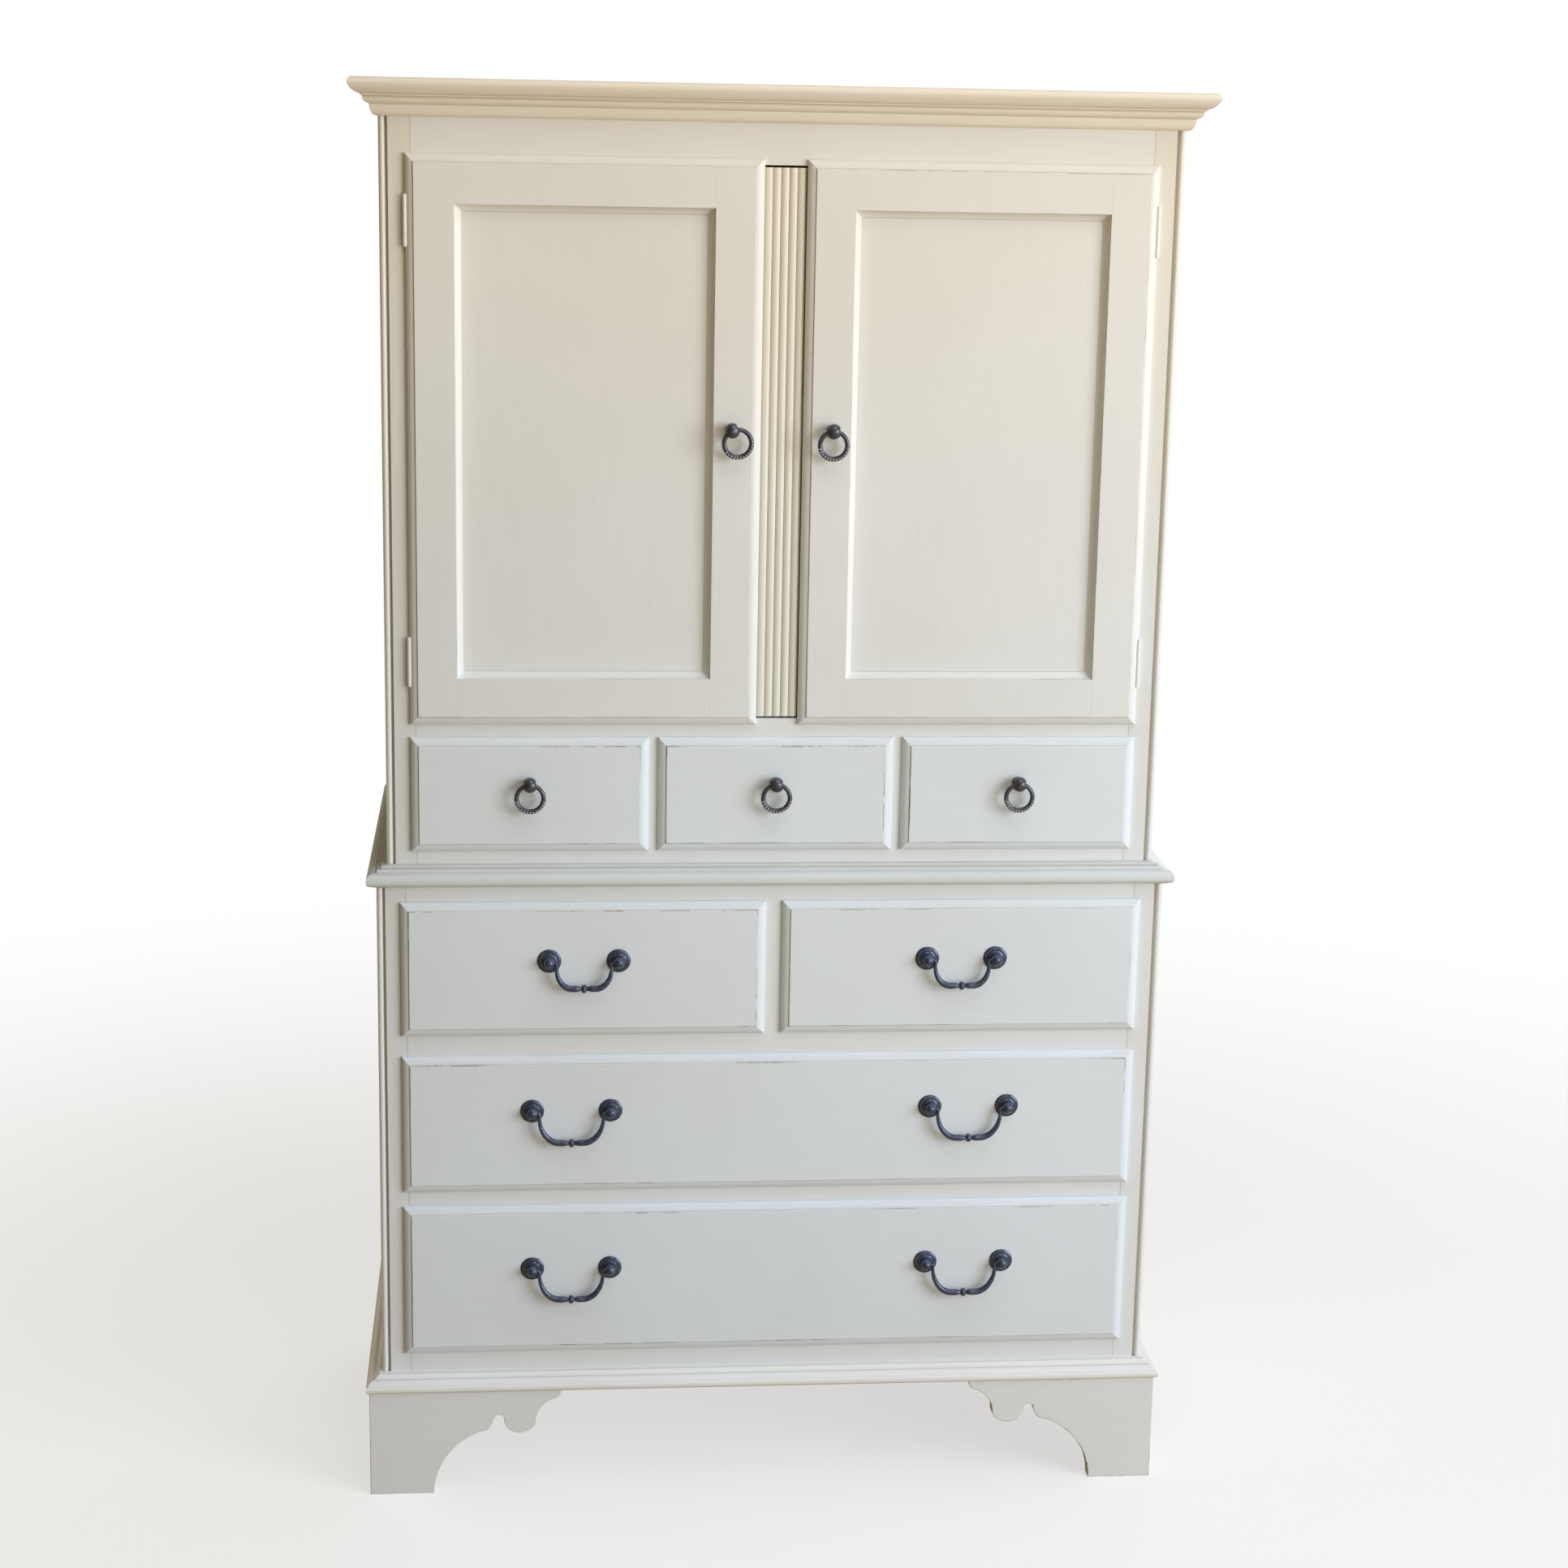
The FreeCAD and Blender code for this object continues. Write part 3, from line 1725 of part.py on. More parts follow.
# Build, check and write each sub-part
document.recompute()
for thing in document.Objects:
    if "Invalid" in thing.State or "Error" in thing.State:
        raise RuntimeError(f"{thing.Name} failed: {thing.State}")
for piece in nodes:
    if piece.Shape.isNull() or not piece.Shape.isValid():
        raise RuntimeError(f"{piece.Label} has no valid shape")
for piece in nodes:
    piece.Shape.exportStep(os.path.join("parts", f"{piece.Label}.step"))
print(len(nodes), "sub-parts")
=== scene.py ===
"""Door chest: the painted cupboard-on-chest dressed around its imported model.

Sizes are millimetres in the chest's own frame, with X to the right, Y to the back and
Z up, and become metres where a mesh is made.
"""

import logging
import math
from dataclasses import dataclass, field
from enum import Enum
from typing import Any, NamedTuple, Sequence

import bpy
import numpy as np
from mathutils import Matrix, Vector


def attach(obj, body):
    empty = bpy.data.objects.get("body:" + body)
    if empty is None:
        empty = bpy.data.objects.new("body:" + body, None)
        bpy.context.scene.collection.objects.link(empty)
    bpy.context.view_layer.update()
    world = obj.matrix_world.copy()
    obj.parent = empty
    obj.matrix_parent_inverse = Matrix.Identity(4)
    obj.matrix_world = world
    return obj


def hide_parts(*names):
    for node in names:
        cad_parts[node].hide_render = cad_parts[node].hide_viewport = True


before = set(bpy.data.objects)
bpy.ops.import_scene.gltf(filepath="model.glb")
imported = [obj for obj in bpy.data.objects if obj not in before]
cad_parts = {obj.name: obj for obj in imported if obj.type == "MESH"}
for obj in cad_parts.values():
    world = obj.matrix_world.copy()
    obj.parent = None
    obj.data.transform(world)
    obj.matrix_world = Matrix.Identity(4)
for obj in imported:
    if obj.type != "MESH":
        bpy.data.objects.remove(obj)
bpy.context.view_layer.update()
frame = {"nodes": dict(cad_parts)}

MM = 0.001
X_WAY, Y_WAY, Z_WAY = np.eye(3)
SIDES = (-1, 1)
POLE = 0.02  # what is left of the radius at the pole of a turned piece
SHORTEST = 1e-9  # least length that is divided by
EASE_SHARE = 0.48  # most of a side that an eased corner takes up
Limits = tuple[float, float]
Tone = tuple[float, float, float]
Material = bpy.types.Material
Socket = bpy.types.NodeSocket
log = logging.getLogger("door_chest")


# Sections and surfaces
class Corner(NamedTuple):
    """A corner of a section: its place, the bulge of the arc that follows, how far it is eased,
    how rubbed the paint is there, and how much painted shade darkens it in the hollows, both from
    0 to 1."""

    across: float
    up: float
    bulge: float = 0.0
    ease: float = 0.0
    rub: float = 0.0
    # painted shade in the hollows, from 0 to 1
    hollow_shade: float = 0.0


@dataclass(frozen=True)
class Section:
    """A flat line of points with its marks."""

    points: np.ndarray  # places, across and up, one row each
    marks: np.ndarray  # rub and painted shade of each point, one row each


def bulged(start: np.ndarray, end: np.ndarray, bulge: float, steps: int) -> np.ndarray:
    """Points of a circular arc, without its end.

    The arc's rise is the bulge times half the chord, to the right of its way. Its points
    are the centre plus the radius times the cosine along the rise and the sine along
    the chord, at even angles.

    Args:
        start: First point.
        end: Last point, which isn't returned.
        bulge: Rise over half the chord.
        steps: How many points.

    Returns:
        Points, one row each.
    """
    chord = end - start
    length = np.linalg.norm(chord)
    along = chord / length
    right = np.array([along[1], -along[0]])
    radius = length / 4 * (1 / bulge + bulge)
    centre = (start + end) / 2 + right * (bulge * length / 2 - radius)
    half = 2 * math.atan(bulge)
    angle = np.linspace(-half, half, steps, endpoint=False)[:, None]
    return centre + radius * (np.cos(angle) * right + np.sin(angle) * along)


def section_of(
    corners: Sequence[Corner], closed: bool, arc_steps: int = 9, ease_steps: int = 3
) -> Section:
    """A section from its corners, with its arcs drawn and its arrises eased.

    An eased corner becomes points at even angles between its two sides: each is the
    corner plus the weighted ways back and on, with weights one less the sine and one
    less the cosine of the angle.

    Args:
        corners: Corners in order.
        closed: Whether the last corner joins the first.
        arc_steps: Points of each arc.
        ease_steps: Faces across each eased arris.

    Returns:
        The section.
    """
    places = np.array([corner[:2] for corner in corners], float)
    runs, traits = [], []
    for corner, start, end in zip(corners, places, np.roll(places, -1, axis=0)):
        run = bulged(start, end, corner.bulge, arc_steps) if corner.bulge else start[None]
        trait = np.zeros((len(run), 3))
        trait[0] = corner[3:]
        runs.append(run)
        traits.append(trait)
    points, traits = np.concatenate(runs), np.concatenate(traits)
    back = np.roll(points, 1, axis=0) - points
    on = np.roll(points, -1, axis=0) - points
    back_length = np.maximum(np.linalg.norm(back, axis=1, keepdims=True), SHORTEST)
    on_length = np.maximum(np.linalg.norm(on, axis=1, keepdims=True), SHORTEST)
    ease = np.minimum(traits[:, :1], EASE_SHARE * np.minimum(back_length, on_length))
    if not closed:
        ease[[0, -1]] = 0
    angle = np.linspace(0, math.pi / 2, ease_steps + 1)[None, :, None]
    eased = (
        points[:, None]
        + (back / back_length * ease)[:, None] * (1 - np.sin(angle))
        + (on / on_length * ease)[:, None] * (1 - np.cos(angle))
    )
    kept = (ease > 0) | (np.arange(ease_steps + 1) == 0)
    marks = np.repeat(traits[:, None, 1:], ease_steps + 1, axis=1)
    return Section(eased[kept], marks[kept])


@dataclass
class Surface:
    """A closed surface while it is put together."""

    points: np.ndarray  # places in millimetres, one row each
    faces: list[list[int]]  # each face's points, in order
    marks: np.ndarray  # rub and painted shade of each point, one row each
    seams: np.ndarray  # a number for each point that lies on a mitre, and -1 elsewhere

    def outward(self) -> "Surface":
        """The same surface with its faces outward.

        The volume is the sum, over a fan of triangles in each face, of a sixth of the
        triple product of its corners. Where it is negative, every face is turned round.

        Returns:
            This surface.
        """
        fans = np.array(
            [(face[0], *pair) for face in self.faces for pair in zip(face[1:], face[2:])]
        )
        first, second, third = (self.points[fans[:, k]] for k in range(3))
        if np.einsum("ij,ij->", first, np.cross(second, third)) < 0:
            self.faces = [face[::-1] for face in self.faces]
        return self


def skin(
    rows: np.ndarray,
    marks: np.ndarray,
    close_rows: bool,
    close_columns: bool,
    mitres: Sequence[int] = (),
) -> Surface:
    """A closed surface over a grid of points.

    Each face joins four neighbours of the grid. An open side of the grid is closed by a
    face over its first row or column and one over its last.

    Args:
        rows: The grid of points, rows by columns by three.
        marks: Rub and painted shade of each point of the grid.
        close_rows: Whether the last row joins the first.
        close_columns: Whether the last column joins the first.
        mitres: Columns that are mitres, where the shading breaks.

    Returns:
        The surface.
    """
    down, over = rows.shape[:2]
    index = np.arange(down * over).reshape(down, over)
    below = np.roll(index, -1, axis=0)
    beside = np.roll(index, -1, axis=1)
    quads = np.stack([index, beside, np.roll(below, -1, axis=1), below], axis=-1)
    quads = quads[: down if close_rows else down - 1, : over if close_columns else over - 1]
    faces = quads.reshape(-1, 4).tolist()
    if not close_rows:
        faces += [index[0, ::-1].tolist(), index[-1].tolist()]
    if not close_columns:
        faces += [index[:, 0].tolist(), index[::-1, -1].tolist()]
    seams = np.full((down, over), -1)
    seams[:, list(mitres)] = np.array(mitres, int)
    marks = np.broadcast_to(marks, (down, over, 2)).reshape(-1, 2)
    return Surface(rows.reshape(-1, 3), faces, marks, seams.ravel()).outward()


def carried(
    section: Section,
    bases: np.ndarray,
    outs: np.ndarray,
    rises: np.ndarray,
    close_section: bool,
    close_path: bool,
    mitred: bool = True,
) -> Surface:
    """A section carried along a path.

    Point i of the section at station j of the path lies at the station's base, plus the
    point's across times the station's way out, plus its up times the station's way up.

    Args:
        section: What is carried.
        bases: Places of the stations, one row each, or one place for all.
        outs: Their ways out, one row each, or one for all.
        rises: Their ways up, likewise.
        close_section: Whether the section is closed.
        close_path: Whether the path is closed.
        mitred: Whether the path turns sharply at every station.

    Returns:
        The surface.
    """
    rows = bases + section.points[:, None, :1] * outs + section.points[:, None, 1:] * rises
    mitres = range(rows.shape[1]) if mitred else ()
    return skin(rows, section.marks[:, None], close_section, close_path, mitres)


def round_rectangle(section: Section, low: Sequence[float], high: Sequence[float]) -> Surface:
    """An open section carried round an upright rectangle, whose middle two faces close.

    The section's across is inward, and its up is to the back.

    Args:
        section: What is carried.
        low: The rectangle's left side, the section's depth origin and its bottom.
        high: Its right side and its top.

    Returns:
        The surface.
    """
    left, depth, bottom = low
    right, top = high
    bases = np.array(
        [(left, depth, bottom), (right, depth, bottom), (right, depth, top), (left, depth, top)]
    )
    outs = np.array([(1, 0, 1), (-1, 0, 1), (-1, 0, -1), (1, 0, -1)], float)
    return carried(section, bases, outs, Y_WAY, False, True)


class Across(Enum):
    """The axis along which a board is thin, and the order of axes that puts it second."""

    X = (1, 0, 2)
    Y = (0, 1, 2)


def slab(x: Limits, y: Limits, z: Limits, thin: Across, ease: float) -> Surface:
    """A board with the arrises of its two faces eased.

    It is a narrow section, face to face over one edge, carried round the board's outline.

    Args:
        x: Limits to the left and right.
        y: Limits to the front and back.
        z: Limits below and above.
        thin: The axis across its thickness.
        ease: How far the arrises are eased.

    Returns:
        The surface.
    """
    (left, right), (front, back), (bottom, top) = ((x, y, z)[axis] for axis in thin.value)
    rim = ease * 3
    corners = [
        Corner(rim, front),
        Corner(0, front, ease=ease),
        Corner(0, back, ease=ease),
        Corner(rim, back),
    ]
    made = round_rectangle(section_of(corners, False), (left, 0, bottom), (right, top))
    made.points = made.points[:, np.argsort(thin.value)]
    return made.outward()


def mirrored(way: int, near: float, far: float) -> Limits:
    """Left and right limits of what lies on one side, from its nearer and farther ones."""
    return (near, far) if way > 0 else (-far, -near)


def turned(
    section: Section,
    centre: np.ndarray,
    axis: np.ndarray,
    side: np.ndarray,
    steps: int,
    closed: bool = False,
) -> Surface:
    """A section turned about an axis: across is the radius, and up is along the axis.

    Station j stands at the centre, and its way out is the cosine of its angle along one
    side and the sine along the other.

    Args:
        section: What is turned, from pole to pole, or round a closed line.
        centre: A point of the axis.
        axis: Its unit heading.
        side: A unit heading across it.
        steps: Faces round it.
        closed: Whether the section is closed.

    Returns:
        The surface.
    """
    angle = np.linspace(0, 2 * math.pi, steps, endpoint=False)[:, None]
    outs = np.cos(angle) * side + np.sin(angle) * np.cross(axis, side)
    return carried(section, centre, outs, axis, closed, True, mitred=False)


def swept(
    path: np.ndarray, radii: np.ndarray, normal: np.ndarray, closed: bool, sides: int
) -> Surface:
    """A round bar along a flat path.

    Each station's circle is the radius times the cosine across the path in its plane and
    the sine along the plane's normal.

    Args:
        path: The bar's middle, one row a station.
        radii: Its radius at each station.
        normal: Unit normal of the path's plane.
        closed: Whether the path joins up.
        sides: Faces round the bar.

    Returns:
        The surface.
    """
    if closed:
        way = np.roll(path, -1, axis=0) - np.roll(path, 1, axis=0)
    else:
        way = np.gradient(path, axis=0)
    way = way / np.linalg.norm(way, axis=1, keepdims=True)
    outs = np.cross(way, normal) * radii[:, None]
    rises = normal * radii[:, None]
    angle = np.linspace(0, 2 * math.pi, sides, endpoint=False)
    circle = Section(np.stack([np.cos(angle), np.sin(angle)], axis=1), np.zeros((sides, 2)))
    return carried(circle, path, outs, rises, True, closed, mitred=False)


class Slot(Enum):
    """Names of the record's material slots."""

    PAINT = "painted_wood"
    BARE = "bare_wood"
    BRONZE = "pull_bronze"


def make_piece(
    name: str,
    node: str,
    surfaces: Sequence[Surface],
    body: str,
    material: Material,
    sharp: float = 40.0,
) -> None:
    """Puts surfaces into one mesh, dresses it and lets it ride on its body.

    Args:
        name: The piece's name.
        node: The node that it stands for.
        surfaces: Closed surfaces.
        body: The body that it moves with.
        material: Its finish.
        sharp: Angle over which an arris is sharp, in degrees.
    """
    starts = np.cumsum([0] + [len(surface.points) for surface in surfaces])
    points = np.concatenate([surface.points for surface in surfaces]) * MM
    marks = np.concatenate([surface.marks for surface in surfaces])
    seams, faces = [], []
    for surface, start in zip(surfaces, starts):
        seams.append(np.where(surface.seams >= 0, surface.seams + start, -1))
        faces += [(np.array(face) + start).tolist() for face in surface.faces]
    mesh = bpy.data.meshes.new(name)
    mesh.from_pydata(points, [], faces)
    # The second mark is where painted shade darkens the hollows
    for label, column in (("rub", 0), ("hollow_shade", 1)):
        mesh.attributes.new(label, "FLOAT", "POINT").data.foreach_set(
            "value", np.ascontiguousarray(marks[:, column], np.float32)
        )
    mesh.shade_smooth()
    mesh.set_sharp_from_angle(angle=math.radians(sharp))
    ends = np.empty(len(mesh.edges) * 2, np.int32)
    mesh.edges.foreach_get("vertices", ends)
    ends = np.concatenate(seams)[ends.reshape(-1, 2)]
    breaks = np.empty(len(mesh.edges), bool)
    mesh.edges.foreach_get("use_edge_sharp", breaks)
    breaks |= (ends[:, 0] >= 0) & (ends[:, 0] == ends[:, 1])
    mesh.edges.foreach_set("use_edge_sharp", breaks)
    mesh.materials.append(material)
    piece = bpy.data.objects.new(name, mesh)
    bpy.context.scene.collection.objects.link(piece)
    piece.modifiers.new("even_faces", "WEIGHTED_NORMAL").keep_sharp = True
    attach(piece, body)
    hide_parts(node)
    log.info("%s: %d faces", name, len(faces))


# Finishes
class Grain(Enum):
    """Stretch of the grain's pattern along X, Y and Z, for a board that runs that way."""

    LEVEL = (5.0, 90.0, 150.0)
    DEEP = (90.0, 5.0, 150.0)
    UPRIGHT = (150.0, 90.0, 5.0)


def tone(color: Tone) -> tuple[float, float, float, float]:
    """A colour with its alpha."""
    return (*color, 1.0)


class Nodes:
    """The nodes of a material or of the world, with short calls to add and join them."""

    def __init__(self, owner: bpy.types.ID, output: str = "OutputMaterial") -> None:
        """Starts an empty tree with its output.

        Args:
            owner: The material or world.
            output: The output's type, without the common prefix.
        """
        owner.use_nodes = True
        self.owner = owner
        self.tree = owner.node_tree
        self.tree.nodes.clear()
        self.output = self.add(output)

    def add(self, kind: str, settings: dict | None = None, **inputs: object) -> bpy.types.Node:
        """Adds a node.

        Args:
            kind: Its type, without the common prefix.
            settings: Properties of the node.
            **inputs: Values or outputs for its sockets, by name with spaces as
                underscores, or by number after an underscore.

        Returns:
            The node.
        """
        node = self.tree.nodes.new("ShaderNode" + kind)
        for key, value in (settings or {}).items():
            setattr(node, key, value)
        for key, value in inputs.items():
            socket = node.inputs[int(key[1:]) if key[0] == "_" else key.replace("_", " ")]
            if isinstance(value, Socket):
                self.tree.links.new(value, socket)
            else:
                socket.default_value = value
        return node

    def math(self, operation: str, first: object, second: object = 0.0) -> Socket:
        """The result of an operation on one or two values."""
        return self.add("Math", {"operation": operation}, _0=first, _1=second).outputs[0]

    def product(self, first: object, *others: object) -> Socket:
        """The product of two or more values."""
        for other in others:
            first = self.math("MULTIPLY", first, other)
        return first

    def ramp(self, value: object, low: float, high: float) -> Socket:
        """A value's share of the way from low to high, eased at both ends."""
        eased = {"interpolation_type": "SMOOTHSTEP"}
        return self.add("MapRange", eased, Value=value, From_Min=low, From_Max=high).outputs[0]

    def blend(self, share: object, first: object, second: object, way: str = "MIX") -> Socket:
        """A mix of two colours by a share."""
        kind = {"data_type": "RGBA", "blend_type": way}
        return self.add("Mix", kind, _0=share, _6=first, _7=second).outputs[2]

    def noise(self, where: object, scale: float, detail: float, rough: float = 0.5) -> Socket:
        """A soft random pattern."""
        inputs = {"Vector": where, "Scale": scale, "Detail": detail, "Roughness": rough}
        return self.add("TexNoise", **inputs).outputs[0]

    def cloud(self, where: object, scale: float) -> Socket:
        """Large soft patches, from 0 to 1."""
        return self.ramp(self.noise(where, scale, 2.0), 0.3, 0.7)

    def stretched(self, where: object, scale: Sequence[float]) -> Socket:
        """Places scaled along each axis."""
        return self.add("Mapping", Vector=where, Scale=tuple(scale)).outputs[0]

    def places(self) -> Socket:
        """Places in the chest's own frame."""
        return self.add("TexCoord").outputs["Object"]

    def mark(self, name: str) -> Socket:
        """A mark that is kept on the mesh's points."""
        return self.add("Attribute", {"attribute_name": name}).outputs["Fac"]

    def finish(self, shader: bpy.types.Node) -> bpy.types.ID:
        """Joins the shader to the output."""
        self.tree.links.new(shader.outputs[0], self.output.inputs[0])
        return self.owner

    def dressed(
        self, color: Socket, rough: Limits, pattern: Socket, bump: bpy.types.Node, metal: float
    ) -> Material:
        """Finishes a material with its shader.

        Args:
            color: Its colour.
            rough: Its roughness where the pattern is 0 and where it is 1.
            pattern: What varies the roughness.
            bump: Its relief.
            metal: How metallic it is.

        Returns:
            The material.
        """
        spread = self.add("MapRange", Value=pattern, To_Min=rough[0], To_Max=rough[1])
        shader = self.add(
            "BsdfPrincipled",
            Base_Color=color,
            Metallic=metal,
            Roughness=spread.outputs[0],
            Normal=bump.outputs[0],
        )
        return self.finish(shader)


@dataclass(frozen=True)
class Paint:
    """Satin cream paint, brushed on and rubbed at the arrises, with painted light by height:
    warmer and lighter towards the top, bluer near the floor, and painted shade in the hollows.
    """

    name: str
    grain: Grain
    wear: float = 1.0  # how much of the rubbed arrises is bare, from 0 to 1
    upper: Tone = (0.875, 0.84, 0.75)  # its colour at the top, with painted warm light
    middle: Tone = (0.80, 0.84, 0.855)  # its colour half way up
    lower: Tone = (0.76, 0.82, 0.89)  # its colour near the floor, with painted cool light
    hollow_shade: Tone = (0.40, 0.28, 0.15)  # colour of the painted shade in the hollows, which the specks also take
    bare: Tone = (0.10, 0.072, 0.045)  # what shows where it is rubbed through
    roughness: float = 0.44
    relief: float = 0.22  # how much the brush strokes stand out
    rise: Limits = (0.1, 1.15)  # heights between which the painted light turns from lower to middle, in metres
    top_light_heights: Limits = (0.95, 1.85)  # heights between which the painted light turns from middle to upper
    specks: float = 17.0  # cells a metre, of which one in six has a speck
    speck_edge: Limits = (0.008, 0.016)  # where a speck starts to fade and where it ends, in cells

    def material(self) -> Material:
        """Makes the paint.

        Returns:
            The material.
        """
        nodes = Nodes(bpy.data.materials.new(self.name))
        where = nodes.places()
        height = nodes.add("SeparateXYZ", Vector=where).outputs[2]
        # Painted light by height: bluer near the floor, warmer and lighter towards the top
        color = nodes.blend(nodes.ramp(height, *self.rise), tone(self.lower), tone(self.middle))
        color = nodes.blend(nodes.ramp(height, *self.top_light_heights), color, tone(self.upper))
        cloud = nodes.cloud(where, 3.1)
        color = nodes.blend(cloud, color, (0.965, 0.955, 0.94, 1), "MULTIPLY")
        strokes = nodes.noise(nodes.stretched(where, self.grain.value), 4.0, 4.0, 0.55)
        streak = nodes.product(nodes.ramp(strokes, 0.35, 0.75), 0.5)
        color = nodes.blend(streak, color, (0.955, 0.95, 0.945, 1), "MULTIPLY")
        color = self.speckled(nodes, where, color)
        # Painted shade darkens the hollows
        shade_share = nodes.product(nodes.mark("hollow_shade"), 0.75)
        color = nodes.blend(shade_share, color, tone(self.hollow_shade))
        color = self.rubbed(nodes, where, color)
        bump = nodes.add("Bump", Strength=self.relief, Distance=0.0004, Height=strokes)
        fine = nodes.noise(where, 420.0, 2.0)
        bump = nodes.add(
            "Bump", Strength=0.08, Distance=0.0003, Height=fine, Normal=bump.outputs[0]
        )
        rough = (self.roughness - 0.04, self.roughness + 0.06)
        return nodes.dressed(color, rough, cloud, bump, metal=0.0)

    def speckled(self, nodes: Nodes, where: Socket, color: Socket) -> Socket:
        """Adds sparse dark specks, each under a millimetre.

        Args:
            nodes: The material's nodes.
            where: Places.
            color: The paint's colour.

        Returns:
            The colour with its specks.
        """
        cells = nodes.add("TexVoronoi", Vector=where, Scale=self.specks)
        draw = nodes.add("SeparateColor", Color=cells.outputs[1]).outputs[0]
        chosen = nodes.math("GREATER_THAN", draw, 0.84)
        near = nodes.math("SUBTRACT", 1.0, nodes.ramp(cells.outputs[0], *self.speck_edge))
        # The specks take the colour of the painted shade
        return nodes.blend(nodes.product(near, chosen, 0.55), color, tone(self.hollow_shade))

    def rubbed(self, nodes: Nodes, where: Socket, color: Socket) -> Socket:
        """Bares thin broken lines along the rubbed arrises.

        Args:
            nodes: The material's nodes.
            where: Places.
            color: The paint's colour.

        Returns:
            The colour with its rubs.
        """
        line = nodes.ramp(nodes.mark("rub"), 0.72, 0.98)
        patches = nodes.ramp(nodes.noise(where, 7.0, 3.0), 0.47, 0.62)
        nicks = nodes.ramp(nodes.noise(where, 48.0, 5.0, 0.62), 0.40, 0.56)
        share = nodes.product(patches, nicks, line, 0.8 * self.wear)
        return nodes.blend(share, color, tone(self.bare))


@dataclass(frozen=True)
class Bare:
    """Planed softwood of the boxes, runners and backs."""

    name: str
    grain: Grain
    light: Tone = (0.60, 0.42, 0.25)  # colour of the early wood
    dark: Tone = (0.40, 0.245, 0.125)  # colour of the late wood
    roughness: float = 0.62
    rings: float = 9.0  # rings across the pattern that carries them

    def material(self) -> Material:
        """Makes the wood.

        Returns:
            The material.
        """
        nodes = Nodes(bpy.data.materials.new(self.name))
        where = nodes.places()
        run = nodes.stretched(where, np.array(self.grain.value) / 60)
        bands = nodes.noise(run, 9.0, 2.0, 0.4)
        late = nodes.ramp(nodes.math("FRACT", nodes.product(bands, self.rings)), 0.35, 0.95)
        color = nodes.blend(late, tone(self.light), tone(self.dark))
        fibres = nodes.noise(nodes.stretched(where, self.grain.value), 9.0, 4.0, 0.6)
        streak = nodes.ramp(fibres, 0.35, 0.7)
        color = nodes.blend(streak, color, (0.80, 0.76, 0.70, 1), "MULTIPLY")
        color = nodes.blend(nodes.cloud(where, 2.4), color, (0.88, 0.85, 0.80, 1), "MULTIPLY")
        bump = nodes.add("Bump", Strength=0.25, Distance=0.0004, Height=fibres)
        rough = (self.roughness - 0.08, self.roughness + 0.1)
        return nodes.dressed(color, rough, fibres, bump, metal=0.0)


@dataclass(frozen=True)
class Bronze:
    """Near-black oiled bronze with a faint violet sheen, lighter where hands rub it; the rubbed
    beads of the rings are near white, partly wear and partly a painted highlight.
    """

    name: str
    deep: Tone = (0.062, 0.083, 0.145)  # colour of most of it
    worn: Tone = (0.11, 0.13, 0.18)  # colour of its lighter patches
    wear_and_highlight: Tone = (0.66, 0.65, 0.66)  # near-white colour of what is rubbed: wear and a painted highlight on the ring's beads
    roughness: float = 0.23

    def material(self) -> Material:
        """Makes the metal.

        Returns:
            The material.
        """
        nodes = Nodes(bpy.data.materials.new(self.name))
        where = nodes.places()
        patina = nodes.noise(where, 110.0, 3.0)
        color = nodes.blend(nodes.ramp(patina, 0.45, 0.8), tone(self.deep), tone(self.worn))
        # Rubbed places, the ring's beads, are painted near white: partly wear, partly a painted
        # highlight
        color = nodes.blend(nodes.mark("rub"), color, tone(self.wear_and_highlight))
        grain = nodes.noise(where, 400.0, 2.0)
        bump = nodes.add("Bump", Strength=0.05, Distance=0.0003, Height=grain)
        rough = (self.roughness - 0.07, self.roughness + 0.12)
        return nodes.dressed(color, rough, patina, bump, metal=0.45)


def once(finish: Paint | Bare | Bronze) -> Any:
    """A field whose material is made when its owner is."""
    return field(default_factory=finish.material)


